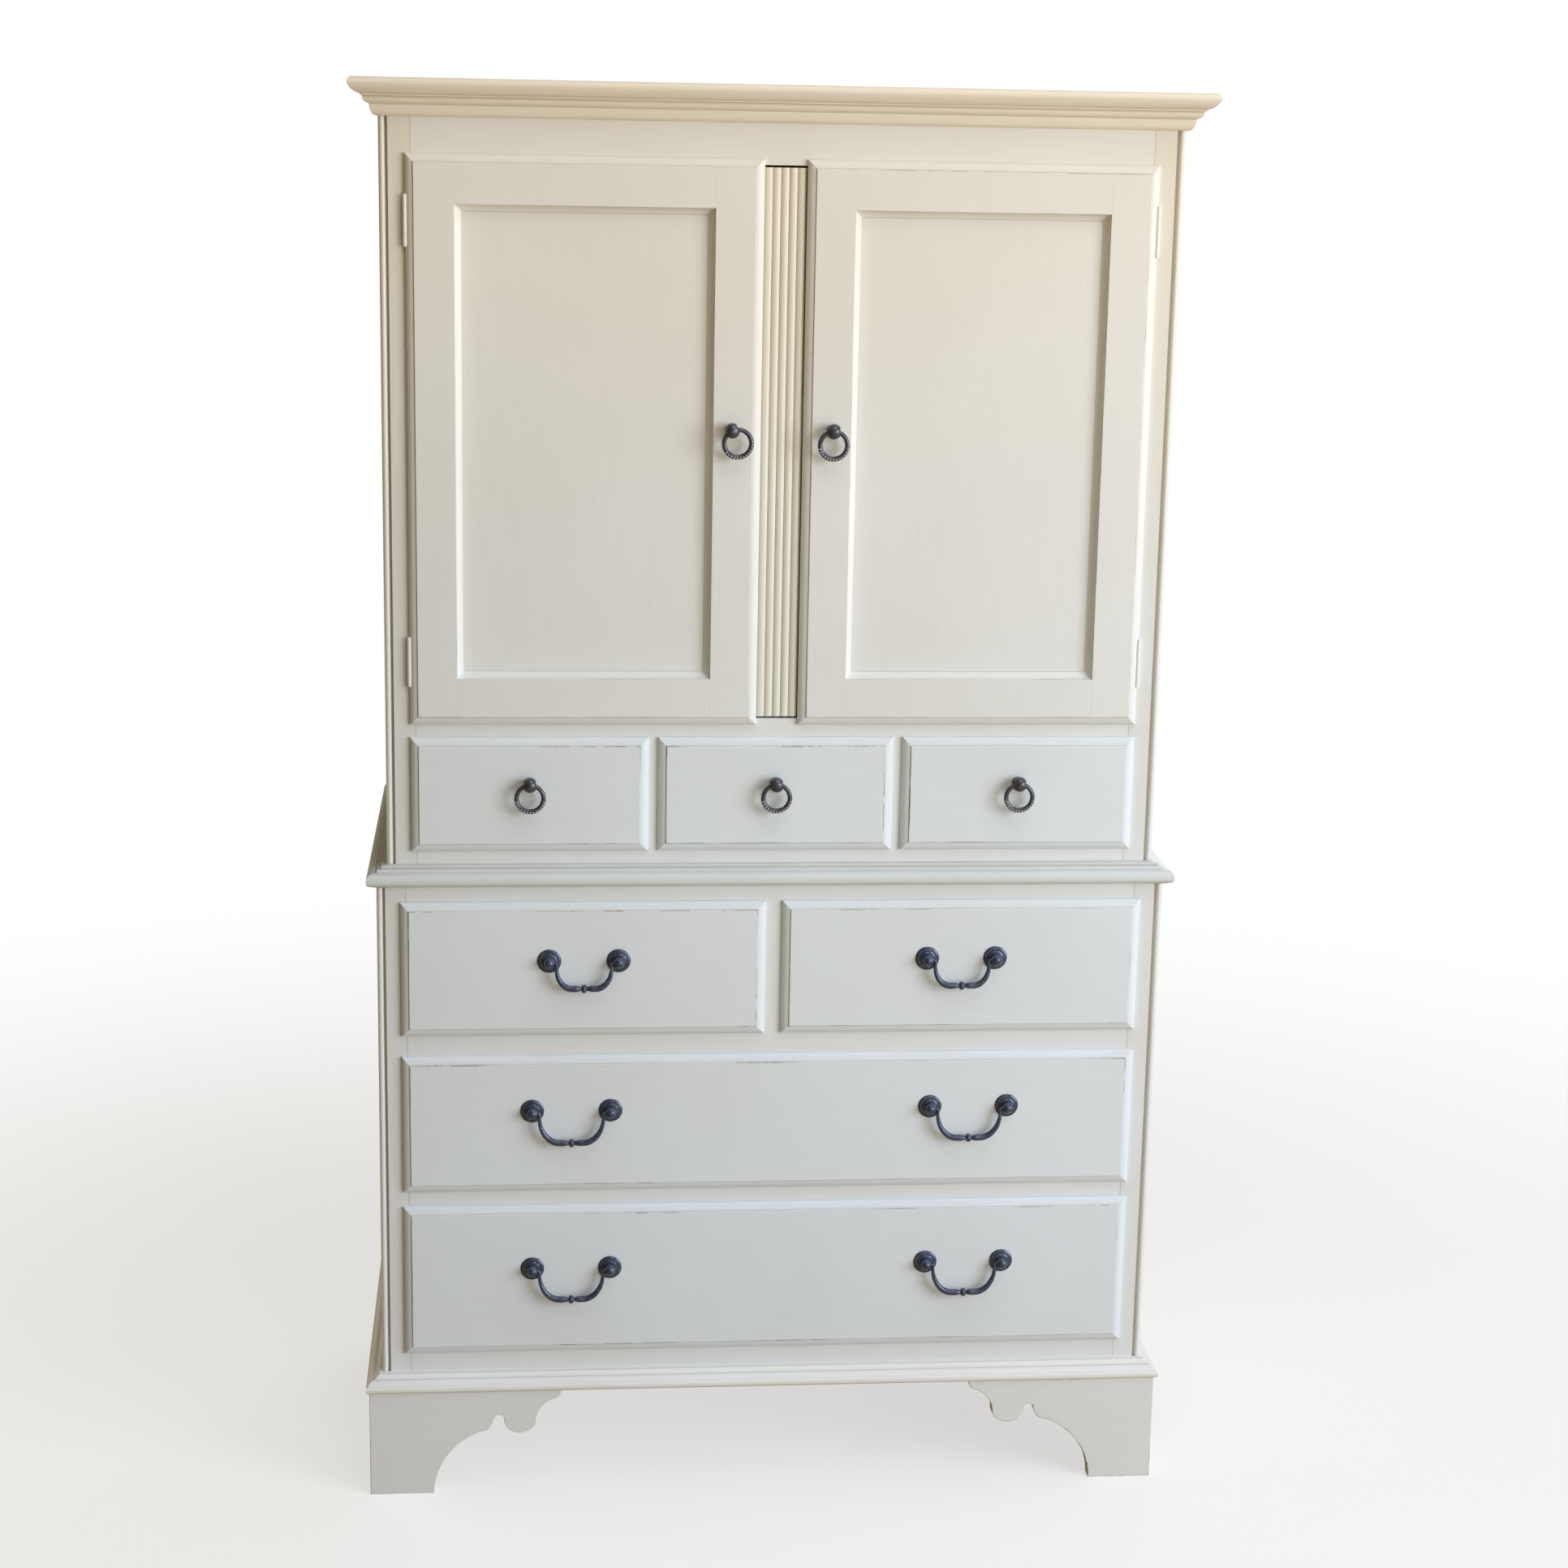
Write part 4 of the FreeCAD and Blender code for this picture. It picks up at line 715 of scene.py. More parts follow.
@dataclass
class Finishes:
    """All finishes of the chest, made once."""

    level_paint: Material = once(Paint("level_paint", Grain.LEVEL))
    upright_paint: Material = once(Paint("upright_paint", Grain.UPRIGHT, wear=0.6))
    level_wood: Material = once(Bare("level_wood", Grain.LEVEL))
    deep_wood: Material = once(Bare("deep_wood", Grain.DEEP))
    upright_wood: Material = once(Bare("upright_wood", Grain.UPRIGHT))
    bronze: Material = once(Bronze("dark_bronze"))
    ring_bronze: Material = once(Bronze("ring_bronze", (0.08, 0.082, 0.10), (0.14, 0.14, 0.16)))
    # A warmer, lighter copy of the cream paint at the top: painted warm light on the crown
    warm_lit_crown_paint: Material = once(Paint("warm_lit_crown_paint", Grain.LEVEL, upper=(0.95, 0.855, 0.70)))
    # A bluer copy of the cream paint half way up and near the floor: painted cool light on the
    # fronts
    cool_lit_front_paint: Material = once(
        Paint("cool_lit_front_paint", Grain.LEVEL, middle=(0.77, 0.85, 0.905), lower=(0.735, 0.825, 0.94))
    )
    # A darker copy of the cream paint half way up: painted shade on the waist moulding
    shaded_waist_paint: Material = once(Paint("shaded_waist_paint", Grain.LEVEL, middle=(0.68, 0.735, 0.76)))
    # A lighter, bluer copy of the cream paint near the floor: painted light on the base moulding
    lit_base_paint: Material = once(Paint("lit_base_paint", Grain.LEVEL, lower=(0.83, 0.88, 0.93)))
    side_paint: Material = once(Paint("side_paint", Grain.UPRIGHT, relief=0.05))
    # A darker, warmer copy of the cream paint: painted shade on the stiles
    shaded_stile_paint: Material = once(
        Paint("shaded_stile_paint", Grain.UPRIGHT, upper=(0.84, 0.79, 0.66), middle=(0.765, 0.80, 0.80))
    )
    # A darker, yellower copy of the cream paint: painted shade on the recessed meeting strip
    shaded_strip_paint: Material = once(
        Paint("shaded_strip_paint", Grain.UPRIGHT, upper=(0.86, 0.79, 0.63), middle=(0.77, 0.79, 0.73))
    )
    hinge_paint: Material = once(
        Paint("hinge_paint", Grain.UPRIGHT, wear=0.6, roughness=0.38)
    )


# Cases and mouldings
@dataclass(frozen=True)
class Case:
    """One of the two cases: its half width, the plane of its face frame, and its limits."""

    name: str
    half: float  # half its width
    face: float  # the front of its face frame
    bottom: float
    top: float
    front_edge: float  # half the width over its outermost lips
    back: float = 274.1
    frame: float = 20.0  # how thick its face frame is
    wall: float = 20.0  # how thick its sides are
    back_wall: float = 12.0  # how thick its back boards are
    cover: float = 7.5  # how far the lips lie over the face frame

    @property
    def opening(self) -> float:
        """Half the width between the stiles' inner edges."""
        return self.front_edge - self.cover


LOWER = Case("lower", 508.0, -245.9, 144.0, 844.0, 478.0)
UPPER = Case("upper", 494.5, -232.4, 844.0, 1830.0, 463.5)


@dataclass
class Carcase:
    """Face frame, sides and back of one case."""

    case: Case
    finishes: Finishes
    rails: Sequence[Limits]  # limits of the rails, below and above
    dividers: Sequence[tuple[float, float, float, float]]  # left, right, low and high limits
    side_top: float  # the sides' and the back's highest plane
    bead: float = 8.0  # width of the bead at the stiles' outer corners
    quirk: float = 3.0  # width of the groove beside it
    boards: int = 6
    rail_ease: float = 0.35
    side_ease: float = 0.5
    board_ease: float = 1.2

    def stile(self) -> Section:
        """Section of the right stile, with a bead along its outer corner.

        Returns:
            The section, across to the right and up to the back.
        """
        case = self.case
        half_bead = self.bead / 2
        shoulder = case.half - self.bead - self.quirk
        # Its hollow marks paint shade at the opening's edge and in the quirk beside the bead
        corners = [
            Corner(case.opening, case.frame),
            Corner(case.opening, 0, ease=0.35, hollow_shade=0.8),
            Corner(case.opening + 0.9, 0),
            Corner(shoulder - 1.5, 0),
            Corner(shoulder, 0, ease=0.4, rub=0.5),
            Corner(shoulder + 0.8, half_bead, hollow_shade=0.8),
            Corner(shoulder + self.quirk, half_bead, bulge=0.92, hollow_shade=0.7),
            Corner(case.half, half_bead, rub=0.45),
            Corner(case.half, half_bead + 2.5),
            Corner(case.half, case.frame),
        ]
        return section_of(corners, closed=True, arc_steps=12)

    def piece(
        self, label: str, node: str, surfaces: Sequence[Surface], material: Material, slot: Slot
    ) -> None:
        """Makes a piece of this case that stands for one of its nodes."""
        name = self.case.name
        make_piece(f"{name}_{label}", f"{name}_{node}", surfaces, "root", material)

    def build(self) -> None:
        """Makes the stiles, rails, sides and back."""
        case = self.case
        paints = self.finishes
        bases = np.array([(0, case.face, case.bottom), (0, case.face, case.top)], float)
        stiles = [carried(self.stile(), bases, X_WAY * way, Y_WAY, True, False) for way in SIDES]
        self.piece("stile_pair", "stiles", stiles, paints.shaded_stile_paint, Slot.PAINT)
        depth = (case.face, case.face + case.frame)
        spans = [(-case.opening, case.opening, *limits) for limits in self.rails]
        rails = [
            slab((left, right), depth, (low, high), Across.Y, self.rail_ease)
            for left, right, low, high in [*spans, *self.dividers]
        ]
        self.piece("rail_set", "rails", rails, paints.level_paint, Slot.PAINT)
        inside = case.half - case.wall
        depth = (case.face + case.frame, case.back)
        height = (case.bottom, self.side_top)
        sides = [
            slab(mirrored(way, inside, case.half), depth, height, Across.X, self.side_ease)
            for way in SIDES
        ]
        self.piece("side_pair", "sides", sides, paints.side_paint, Slot.PAINT)
        edges = np.linspace(-inside, inside, self.boards + 1)
        depth = (case.back - case.back_wall, case.back)
        boards = [
            slab(limits, depth, height, Across.Y, self.board_ease)
            for limits in zip(edges[:-1], edges[1:])
        ]
        self.piece("back_boards", "back", boards, paints.upright_wood, Slot.BARE)


@dataclass
class Moulding:
    """A moulding round the front and both sides of a case, mitred at its front corners."""

    node: str  # the node that it stands for
    case: Case
    bottom: float
    corners: Sequence[Corner]  # its section, out and up from the foot of its inner face
    material: Material

    def build(self) -> None:
        """Makes the moulding: its section carried along the two sides and the front."""
        half = self.case.half
        plan = [
            (-half, self.case.back),
            (-half, self.case.face),
            (half, self.case.face),
            (half, self.case.back),
        ]
        bases = np.array([(x, y, self.bottom) for x, y in plan])
        outs = np.array([(-1, 0, 0), (-1, -1, 0), (1, -1, 0), (1, 0, 0)], float)
        section = section_of(self.corners, closed=True, arc_steps=10)
        surface = carried(section, bases, outs, Z_WAY, True, False)
        make_piece(f"{self.node}_run", self.node, [surface], "root", self.material)


# The hollow marks in these sections paint shade into the mouldings' hollows
CROWN = (
    Corner(0, 0, 0.25, hollow_shade=0.5),
    Corner(7.35, 3.78, 0.1, rub=0.4),
    Corner(10.0, 14.0, hollow_shade=0.7),
    Corner(10.6, 14.7, 0.3),
    Corner(17.2, 19.6, rub=0.4),
    Corner(17.2, 22.9, ease=0.3, hollow_shade=0.6),
    Corner(20.4, 23.85, ease=0.3),
    Corner(20.4, 25.9, hollow_shade=0.7),
    Corner(21.55, 26.1, 0.23),
    Corner(33.5, 35.55, 0.42),
    Corner(31.3, 45.0, ease=0.5, rub=1.0),
    Corner(29.5, 45.0),
    Corner(0, 45.0),
)
WAIST = (
    Corner(0, 15.0),
    Corner(13.5, 15.0),
    Corner(13.5, 0),
    Corner(22.9, 3.61, 0.3, ease=0.3),
    Corner(25.9, 9.0, 0.53),
    Corner(14.1, 19.4, hollow_shade=0.6),
    Corner(12.4, 19.6, ease=0.2, rub=0.4),
    Corner(12.3, 22.9, ease=0.4, rub=0.4),
    Corner(7.4, 23.3, hollow_shade=0.6),
    Corner(7.2, 26.6, ease=0.4, rub=0.5),
    Corner(1.0, 27.4, hollow_shade=0.5),
    Corner(0, 28.0),
)
BASE = (
    Corner(0, 0),
    Corner(18.0, 0, 0.36, ease=0.3),
    Corner(21.4, 5.6, 0.3),
    Corner(19.3, 10.3, hollow_shade=0.4),
    Corner(18.7, 10.5, 0.18),
    Corner(12.9, 16.05, ease=0.2),
    Corner(10.75, 16.8, -0.18, hollow_shade=0.6),
    Corner(4.7, 21.2, ease=0.2, rub=0.5),
    Corner(4.1, 21.5, hollow_shade=0.4),
    Corner(4.1, 24.3),
    Corner(0, 24.3),
)


# Lipped fronts and doors
@dataclass(frozen=True)
class Lip:
    """The lipped, thumbnailed edge that all fronts share, inward and to the back."""

    lap: float = 9.0  # width of the lip's back
    core: float = 10.0  # how far the front reaches behind the face frame
    seat: float = 0.3  # gap between the lip's back and the face frame
    edge: float = 3.0  # how thick the lip is at its edge
    thumb: float = 10.4  # width of the thumbnail
    thumb_face: float = 8.5  # how far the thumbnail stands proud where it ends
    proud: float = 10.0  # how far the field stands proud
    bulge: float = 0.218  # bulge of the thumbnail
    onward: float = 2.0  # how much of the field the section takes in

    def corners(self) -> list[Corner]:
        """Corners from the core's back to a little way in on the field.

        Returns:
            The corners.
        """
        # The hollow mark paints shade at the foot of the thumbnail
        return [
            Corner(self.lap, self.core, ease=0.5),
            Corner(self.lap, -self.seat),
            Corner(0, -self.seat, ease=0.3),
            Corner(0, -self.edge, self.bulge, ease=0.7, rub=0.5),
            Corner(self.thumb, -self.thumb_face, hollow_shade=0.7),
            Corner(self.thumb, -self.proud, ease=0.7, rub=1.0),
            Corner(self.thumb + self.onward, -self.proud),
        ]


@dataclass
class DrawerFront:
    """A lipped front of a drawer."""

    label: str  # the drawer's body
    left: float
    width: float
    bottom: float
    height: float
    face: float  # plane of the face frame
    material: Material
    lip: Lip = Lip(lap=9.1)
    back_rim: float = 4.0  # how much of its back the section takes in

    def build(self) -> None:
        """Makes the front: the lip's section carried round its four edges."""
        corners = [Corner(self.lip.lap + self.back_rim, self.lip.core), *self.lip.corners()]
        section = section_of(corners, closed=False, arc_steps=10)
        low = (self.left, self.face, self.bottom)
        high = (self.left + self.width, self.bottom + self.height)
        surface = round_rectangle(section, low, high)
        label = self.label
        make_piece(f"{label}_face", f"{label}_front", [surface], label, self.material)


@dataclass
class DoorFrame:
    """The stiles and rails of a door, with the hairline joints between them."""

    label: str  # the door's body
    left: float
    right: float
    material: Material
    bottom: float = 1038.4
    top: float = 1742.4
    face: float = -232.4
    member: float = 60.0  # width of a stile or rail from the lip's edge to the sticking
    sticking: float = 8.8  # width of the sticking, the small moulding round the panel
    sticking_step: float = 1.5  # depth of the step where it starts
    panel: float = 0.5  # depth of the panel's face
    joint: float = 0.3  # half the width of a hairline joint
    joint_depth: float = 0.3  # how deep it is
    apart: float = 0.02  # least distance between the stations of a corner
    slack: float = 0.1  # what a point may lie outside the front and still be on it
    mitres: tuple[int, ...] = (0, 7, 8, 15)  # those on the mitres, of sixteen stations
    lip: Lip = Lip()

    def section(self) -> Section:
        """The frame's closed section, inward and to the back.

        Returns:
            The section.
        """
        lip = self.lip
        inner = self.member + self.sticking
        # The hollow marks paint shade in the sticking round the panel
        corners = [
            *lip.corners(),
            Corner(self.member - lip.onward, -lip.proud),
            Corner(self.member, -lip.proud, ease=0.5, rub=0.9),
            Corner(self.member, -lip.proud + self.sticking_step, -0.3, hollow_shade=0.5),
            Corner(inner, self.panel, hollow_shade=0.8),
            Corner(inner, self.panel + 1.0),
            Corner(inner, lip.core),
        ]
        return section_of(corners, closed=True, arc_steps=10)

    def build(self) -> None:
        """Makes the frame: its section carried round, with grooves where the rails butt.

        A station's place along a rail is the mitre's inset, or the joint's place where
        that is further in. At the middle one of each joint's three stations the points
        of the front lie deeper.
        """
        section = self.section()
        inset, depth = section.points.T
        on_front = (inset > self.lip.thumb - self.slack) & (inset < self.member + self.slack)
        sink = np.where(on_front & (depth < 0), self.joint_depth, 0.0)
        steps = np.array([-1, 0, 1])[:, None]
        joints = np.maximum(self.member + steps * self.joint, inset + (steps + 2) * self.apart)
        runs = np.concatenate([inset[None], joints])
        sinks = np.stack([sink * 0, sink * 0, sink, sink * 0])
        columns = []
        for low, base, way in (
            (True, self.left, 1),
            (True, self.right, -1),
            (False, self.right, -1),
            (False, self.left, 1),
        ):
            height = self.bottom + inset if low else self.top - inset
            group = [
                np.stack([base + way * run, self.face + depth + down, height], axis=1)
                for run, down in zip(runs, sinks)
            ]
            columns += group[::-1] if low == (way < 0) else group
        rows = np.stack(columns, axis=1)
        surface = skin(rows, section.marks[:, None], True, True, self.mitres)
        name, node = f"{self.label}_stiles_and_rails", f"{self.label}_frame"
        make_piece(name, node, [surface], self.label, self.material)


@dataclass
class MeetingStrip:
    """The reeded strip that fills the gap between the doors."""

    material: Material
    left: float = -35.3  # its left edge, which the left door's lip covers
    reeds_left: float = -26.3  # where the reeds start
    right: float = 24.5  # where they end, at a small step
    bottom: float = 1048.5
    top: float = 1732.3
    face: float = -232.4
    thickness: float = 10.0
    rise: float = 1.7  # how far the reeds stand up from the grooves between them
    step: float = 1.4  # width and depth of the step
    reeds: int = 5

    def build(self) -> None:
        """Makes the strip: a row of arcs and a small step, carried upright."""
        edges = np.linspace(self.reeds_left, self.right, self.reeds + 1)
        bulge = self.rise / ((edges[1] - edges[0]) / 2)
        low, end = self.rise + self.step, self.right + self.step
        # The hollow marks paint shade in the grooves between the reeds and in the step beside them
        corners = [
            Corner(self.left, self.thickness),
            Corner(self.left, self.rise),
            *(Corner(edge, self.rise, bulge, hollow_shade=0.8) for edge in edges[:-1]),
            Corner(self.right, self.rise, ease=0.3),
            Corner(self.right, low, hollow_shade=1.0),
            Corner(end, low, hollow_shade=1.0),
            Corner(end, self.thickness),
        ]
        section = section_of(corners, closed=True, arc_steps=14)
        bases = np.array([(0, self.face, self.bottom), (0, self.face, self.top)])
        surface = carried(section, bases, X_WAY, Y_WAY, True, False)
        name, node = "reeded_meeting_strip", "meeting_strip"
        make_piece(name, node, [surface], "left_door", self.material)


# Bracket feet
FOOT = (
    Corner(0, 0),
    Corner(84.1, 0, -0.31),
    Corner(144.9, 86.5),
    Corner(154.0, 88.4, 0.2),
    Corner(163.4, 105.0, -0.76),
    Corner(176.8, 104.5, 0.29),
    Corner(186.9, 86.5, 0.41),
    Corner(218.9, 96.5, -0.385),
    Corner(246.7, 132.2, 0.26),
    Corner(252.5, 144.0),
    Corner(0, 144.0),
)
BRACE = (Corner(0, 0), Corner(63, 0), Corner(150, 103.7), Corner(150, 144.0), Corner(0, 144.0))


@dataclass
class Feet:
    """Bracket feet at the front and the back, with the glue blocks inside them."""

    material: Material
    corner: float = 525.0  # half the width over the feet
    face: float = -262.9  # plane of the front feet
    back: float = 274.1  # plane of the rear feet's backs
    thickness: float = 20.0
    ease: float = 0.8  # how far its arrises are eased
    bluntest: float = 0.4  # least divisor of the mean of two normals, which limits sharp corners
    block: float = 34.0  # side of a glue block
    block_low: float = 20.0  # height of its foot
    top: float = 144.0

    def bracket(
        self,
        corners: Sequence[Corner],
        origin: Sequence[float],
        along: np.ndarray,
        inward: np.ndarray,
        mitre: float = 0.0,
    ) -> Surface:
        """A fretted board that stands on edge.

        Its outline is laid down several times through its thickness. The outer two and
        the inner two are eased by moving each point in along the mean of its sides'
        normals, and the inner face is cut back to the mitre.

        Args:
            corners: The outline, along and up from the outer corner of the foot.
            origin: Place of that corner on the floor.
            along: Heading of the bracket's length.
            inward: Heading through its thickness.
            mitre: How far the inner face is cut back at the corner.

        Returns:
            The surface.
        """
        ease, whole = self.ease, self.thickness / self.ease
        outline = section_of(corners, closed=True, arc_steps=12).points
        way = np.roll(outline, -1, axis=0) - outline
        way /= np.linalg.norm(way, axis=1, keepdims=True)
        normal = np.stack([-way[:, 1], way[:, 0]], axis=1)
        mean = normal + np.roll(normal, 1, axis=0)
        mean /= np.maximum(np.sum(mean * mean, axis=1, keepdims=True) / 2, self.bluntest)
        rows, marks = [], []
        # Each level's depth and inset, both in eases, and how rubbed it is
        for depth, inset, rub in (
            (0, 3.0, 0),
            (0, 1.0, 1),
            (1.0, 0, 1),
            (whole - 1, 0, 0.3),
            (whole, 1.0, 0.3),
        ):
            flat = outline + mean * (inset * ease)
            share = depth * ease / self.thickness
            flat[:, 0] = np.maximum(flat[:, 0], max(mitre * share, inset * ease))
            flat[:, 1] = np.clip(flat[:, 1], inset * ease, self.top - inset * ease)
            level = np.asarray(origin, float) + flat[:, :1] * along
            rows.append(level + inward * (depth * ease) + flat[:, 1:] * Z_WAY)
            marks.append(np.stack([np.full(len(flat), rub), np.zeros(len(flat))], axis=1))
        return skin(np.stack(rows), np.stack(marks), False, True)

    def blocks(self, front: float) -> list[Surface]:
        """The glue blocks behind one pair of feet.

        Args:
            front: Plane of their front faces.

        Returns:
            The left block and the right one.
        """
        inside = self.corner - self.thickness
        depth = (front, front + self.block)
        height = (self.block_low, self.top)
        return [
            slab(mirrored(way, inside - self.block, inside), depth, height, Across.Y, self.ease)
            for way in SIDES
        ]

    def build(self) -> None:
        """Makes the four feet."""
        thickness, back = self.thickness, self.back
        fronts, rears = [], []
        for way in SIDES:
            inward = -X_WAY * way
            place = (self.corner * way, self.face, 0)
            fronts.append(self.bracket(FOOT, place, inward, Y_WAY, thickness))
            fronts.append(self.bracket(FOOT, place, Y_WAY, inward, thickness))
            rears.append(self.bracket(FOOT, (self.corner * way, back, 0), -Y_WAY, inward))
            place = ((self.corner - thickness) * way, back, 0)
            rears.append(self.bracket(BRACE, place, inward, -Y_WAY))
        fronts += self.blocks(self.face + thickness)
        rears += self.blocks(back - thickness - self.block)
        for end, surfaces in (("front", fronts), ("rear", rears)):
            name, node = f"{end}_bracket_feet", f"{end}_feet"
            make_piece(name, node, surfaces, "root", self.material)


# Pulls
@dataclass(frozen=True)
class Stud:
    """What fastens a post: a stud through a front, with a six-sided nut behind it."""

    front: float = 20.0  # how thick the front is
    radius: float = 2.0
    tail: float = 2.0  # how far it stands out of the nut
    nut: float = 5.2  # radius of the nut's corners
    nut_height: float = 3.6

    def surfaces(
        self, corners: Sequence[Corner], centre: np.ndarray, reach: float
    ) -> list[Surface]:
        """A post turned from its corners and its stud's in one, and the nut.

        The nut is a square-cornered section turned in six steps.

        Args:
            corners: The post's corners, radius and depth from the hinge axis.
            centre: Place of the hinge axis.
            reach: Depth from that axis to the front's field.

        Returns:
            The post's surface and the nut's.
        """
        low = reach + self.front
        high = low + self.nut_height
        end = high + self.tail
        stud = [Corner(self.radius, reach), Corner(self.radius, end, ease=0.4), Corner(POLE, end)]
        nut = [
            Corner(self.radius, low),
            Corner(self.nut, low, ease=0.3),
            Corner(self.nut, high, ease=0.3),
            Corner(self.radius, high),
        ]
        return [
            turned(section_of([*corners, *stud], False, 16), centre, Y_WAY, X_WAY, 48),
            turned(section_of(nut, True), centre, Y_WAY, X_WAY, 6, closed=True),
        ]


@dataclass
class BailPosts:
    """The two posts of each bail on a drawer: a ball head on a stepped round rosette."""

    label: str
    places: Sequence[float]  # middles of its bails across the front
    height: float  # height of their hinge axis
    span: float  # distance between a bail's posts
    material: Material
    axis_y: float = -266.9
    reach: float = 11.0  # from the hinge axis to the front's field
    head: float = 7.2  # radius of the ball head
    neck_share: float = 0.72  # the neck's radius over the head's
    step: float = 10.6  # radius of the rosette's raised middle
    rosette: float = 15.5  # its whole radius

    def corners(self) -> list[Corner]:
        """Corners of a post, radius and depth, from the front of its head to its back.

        Returns:
            The corners.
        """
        neck = self.head * self.neck_share
        bulge = math.tan((math.pi - math.asin(self.neck_share)) / 4)
        return [
            Corner(POLE, -self.head, bulge),
            Corner(neck, self.head * math.sqrt(1 - self.neck_share**2)),
            Corner(neck, self.reach - 3.4, 0.16),
            Corner(self.step, self.reach - 2.4, ease=0.3),
            Corner(self.step, self.reach - 2.1, 0.27),
            Corner(self.rosette, self.reach - 0.7, ease=0.3),
            Corner(self.rosette, self.reach),
        ]

    def build(self) -> None:
        """Makes the posts, their studs and their nuts."""
        surfaces = []
        for place in self.places:
            for way in SIDES:
                centre = np.array([place + way * self.span / 2, self.axis_y, self.height])
                surfaces += Stud().surfaces(self.corners(), centre, self.reach)
        name, node = f"{self.label}_posts", f"{self.label}_pulls"
        make_piece(name, node, surfaces, self.label, self.material)


@dataclass
class Bail:
    """A bail that hangs between two posts, swelling from its ends to a beaded grip."""

    label: str
    centre: float  # place across the front
    height: float  # of its hinge axis
    span: float  # distance between its posts
    drop: float  # how far its grip hangs below the axis
    material: Material
    axis_y: float = -266.9
    head: float = 7.2  # radius of the heads that its ends go into
    clearance: float = 0.4  # gap between a head and the arm
    tip: float = 1.75  # radius at its ends
    arm: float = 2.2  # radius of its arms
    grip: float = 4.15  # radius of its grip
    grip_half: float = 15.0  # half the grip's length
    bend_rise: float = 1.3  # height of a bend over its width
    neck: float = 2.5  # radius beside the middle bead
    bead: float = 5.65  # radius of that bead
    bead_half: float = 3.4  # half its length
    bead_gap: float = 0.6  # length of the neck beside it
    swell: float = 7.0  # length over which the neck grows to the grip
    arm_run: float = 14.0  # length of the arm's even end
    tip_run: Limits = (13.0, 9.0)  # distances from the end between which the arm thins to the tip
    thinning: float = 0.65  # power of the grip's thinning to the arm
    fine_run: float = 13.0  # how far from the centre the stations lie close

    def path(self) -> np.ndarray:
        """The bail's middle line on one side, from its centre to its end.

        The bend is a quarter of an ellipse: across it goes with the sine of an angle, and
        up with one less its cosine.

        Returns:
            Points, across and up from the hinge axis.
        """
        arm_place = self.span / 2 - self.head - self.clearance - self.tip
        bend = arm_place - self.grip_half
        angle = np.linspace(0, math.pi / 2, 28)
        across = self.grip_half + bend * np.sin(angle)
        up = bend * self.bend_rise * (1 - np.cos(angle)) - self.drop
        corners = [
            Corner(0, -self.drop),
            *(Corner(*point) for point in zip(across, up)),
            Corner(arm_place, 0, ease=1.6),
            Corner(self.span / 2, 0),
        ]
        return section_of(corners, closed=False, ease_steps=6).points

    def radius(self, run: np.ndarray, length: float) -> np.ndarray:
        """The bail's radius at a distance from its centre.

        Within the bead it is the neck's plus a half ellipse. From there it grows to the
        grip's with a sine, keeps it along the grip, and thins with a cosine to the tip.

        Args:
            run: Distances from the centre.
            length: The half bail's length.

        Returns:
            Radii.
        """
        dome = np.sqrt(np.clip(1 - (run / self.bead_half) ** 2, 0, 1))
        bead = self.neck + (self.bead - self.neck) * dome
        rise = np.clip((run - self.bead_half - self.bead_gap) / self.swell, 0, 1)
        grip = self.neck + (self.grip - self.neck) * np.sin(rise * math.pi / 2)
        fall = np.clip((run - self.grip_half) / (length - self.grip_half - self.arm_run), 0, 1)
        share = (0.5 + 0.5 * np.cos(fall * math.pi)) ** self.thinning
        thin = self.arm + (self.grip - self.arm) * share
        taper = [length - before for before in self.tip_run]
        thin = np.minimum(thin, np.interp(run, taper, [self.grip, self.tip]))
        return np.where(run < self.bead_half, bead, np.minimum(grip, thin))

    def build(self) -> None:
        """Makes the bail: a round bar along both halves of its path."""
        line = self.path()
        steps = np.concatenate([[0], np.cumsum(np.linalg.norm(np.diff(line, axis=0), axis=1))])
        stations = [
            np.sin(np.linspace(0, math.pi / 2, 9)) * self.bead_half,
            np.linspace(self.bead_half + 0.1, self.fine_run, 14),
            np.linspace(self.fine_run, steps[-1], 60),
        ]
        run = np.unique(np.concatenate(stations))
        half = np.stack([np.interp(run, steps, line[:, axis]) for axis in (0, 1)], axis=1)
        radii = self.radius(run, steps[-1])
        both = np.concatenate([half[:0:-1] * (-1, 1), half])
        depth = np.full(len(both), self.axis_y)
        path = np.stack([both[:, 0] + self.centre, depth, both[:, 1] + self.height], axis=1)
        surface = swept(path, np.concatenate([radii[:0:-1], radii]), Y_WAY, False, 24)
        label = self.label
        make_piece(f"{label}_bar", label, [surface], label, self.material, 60)


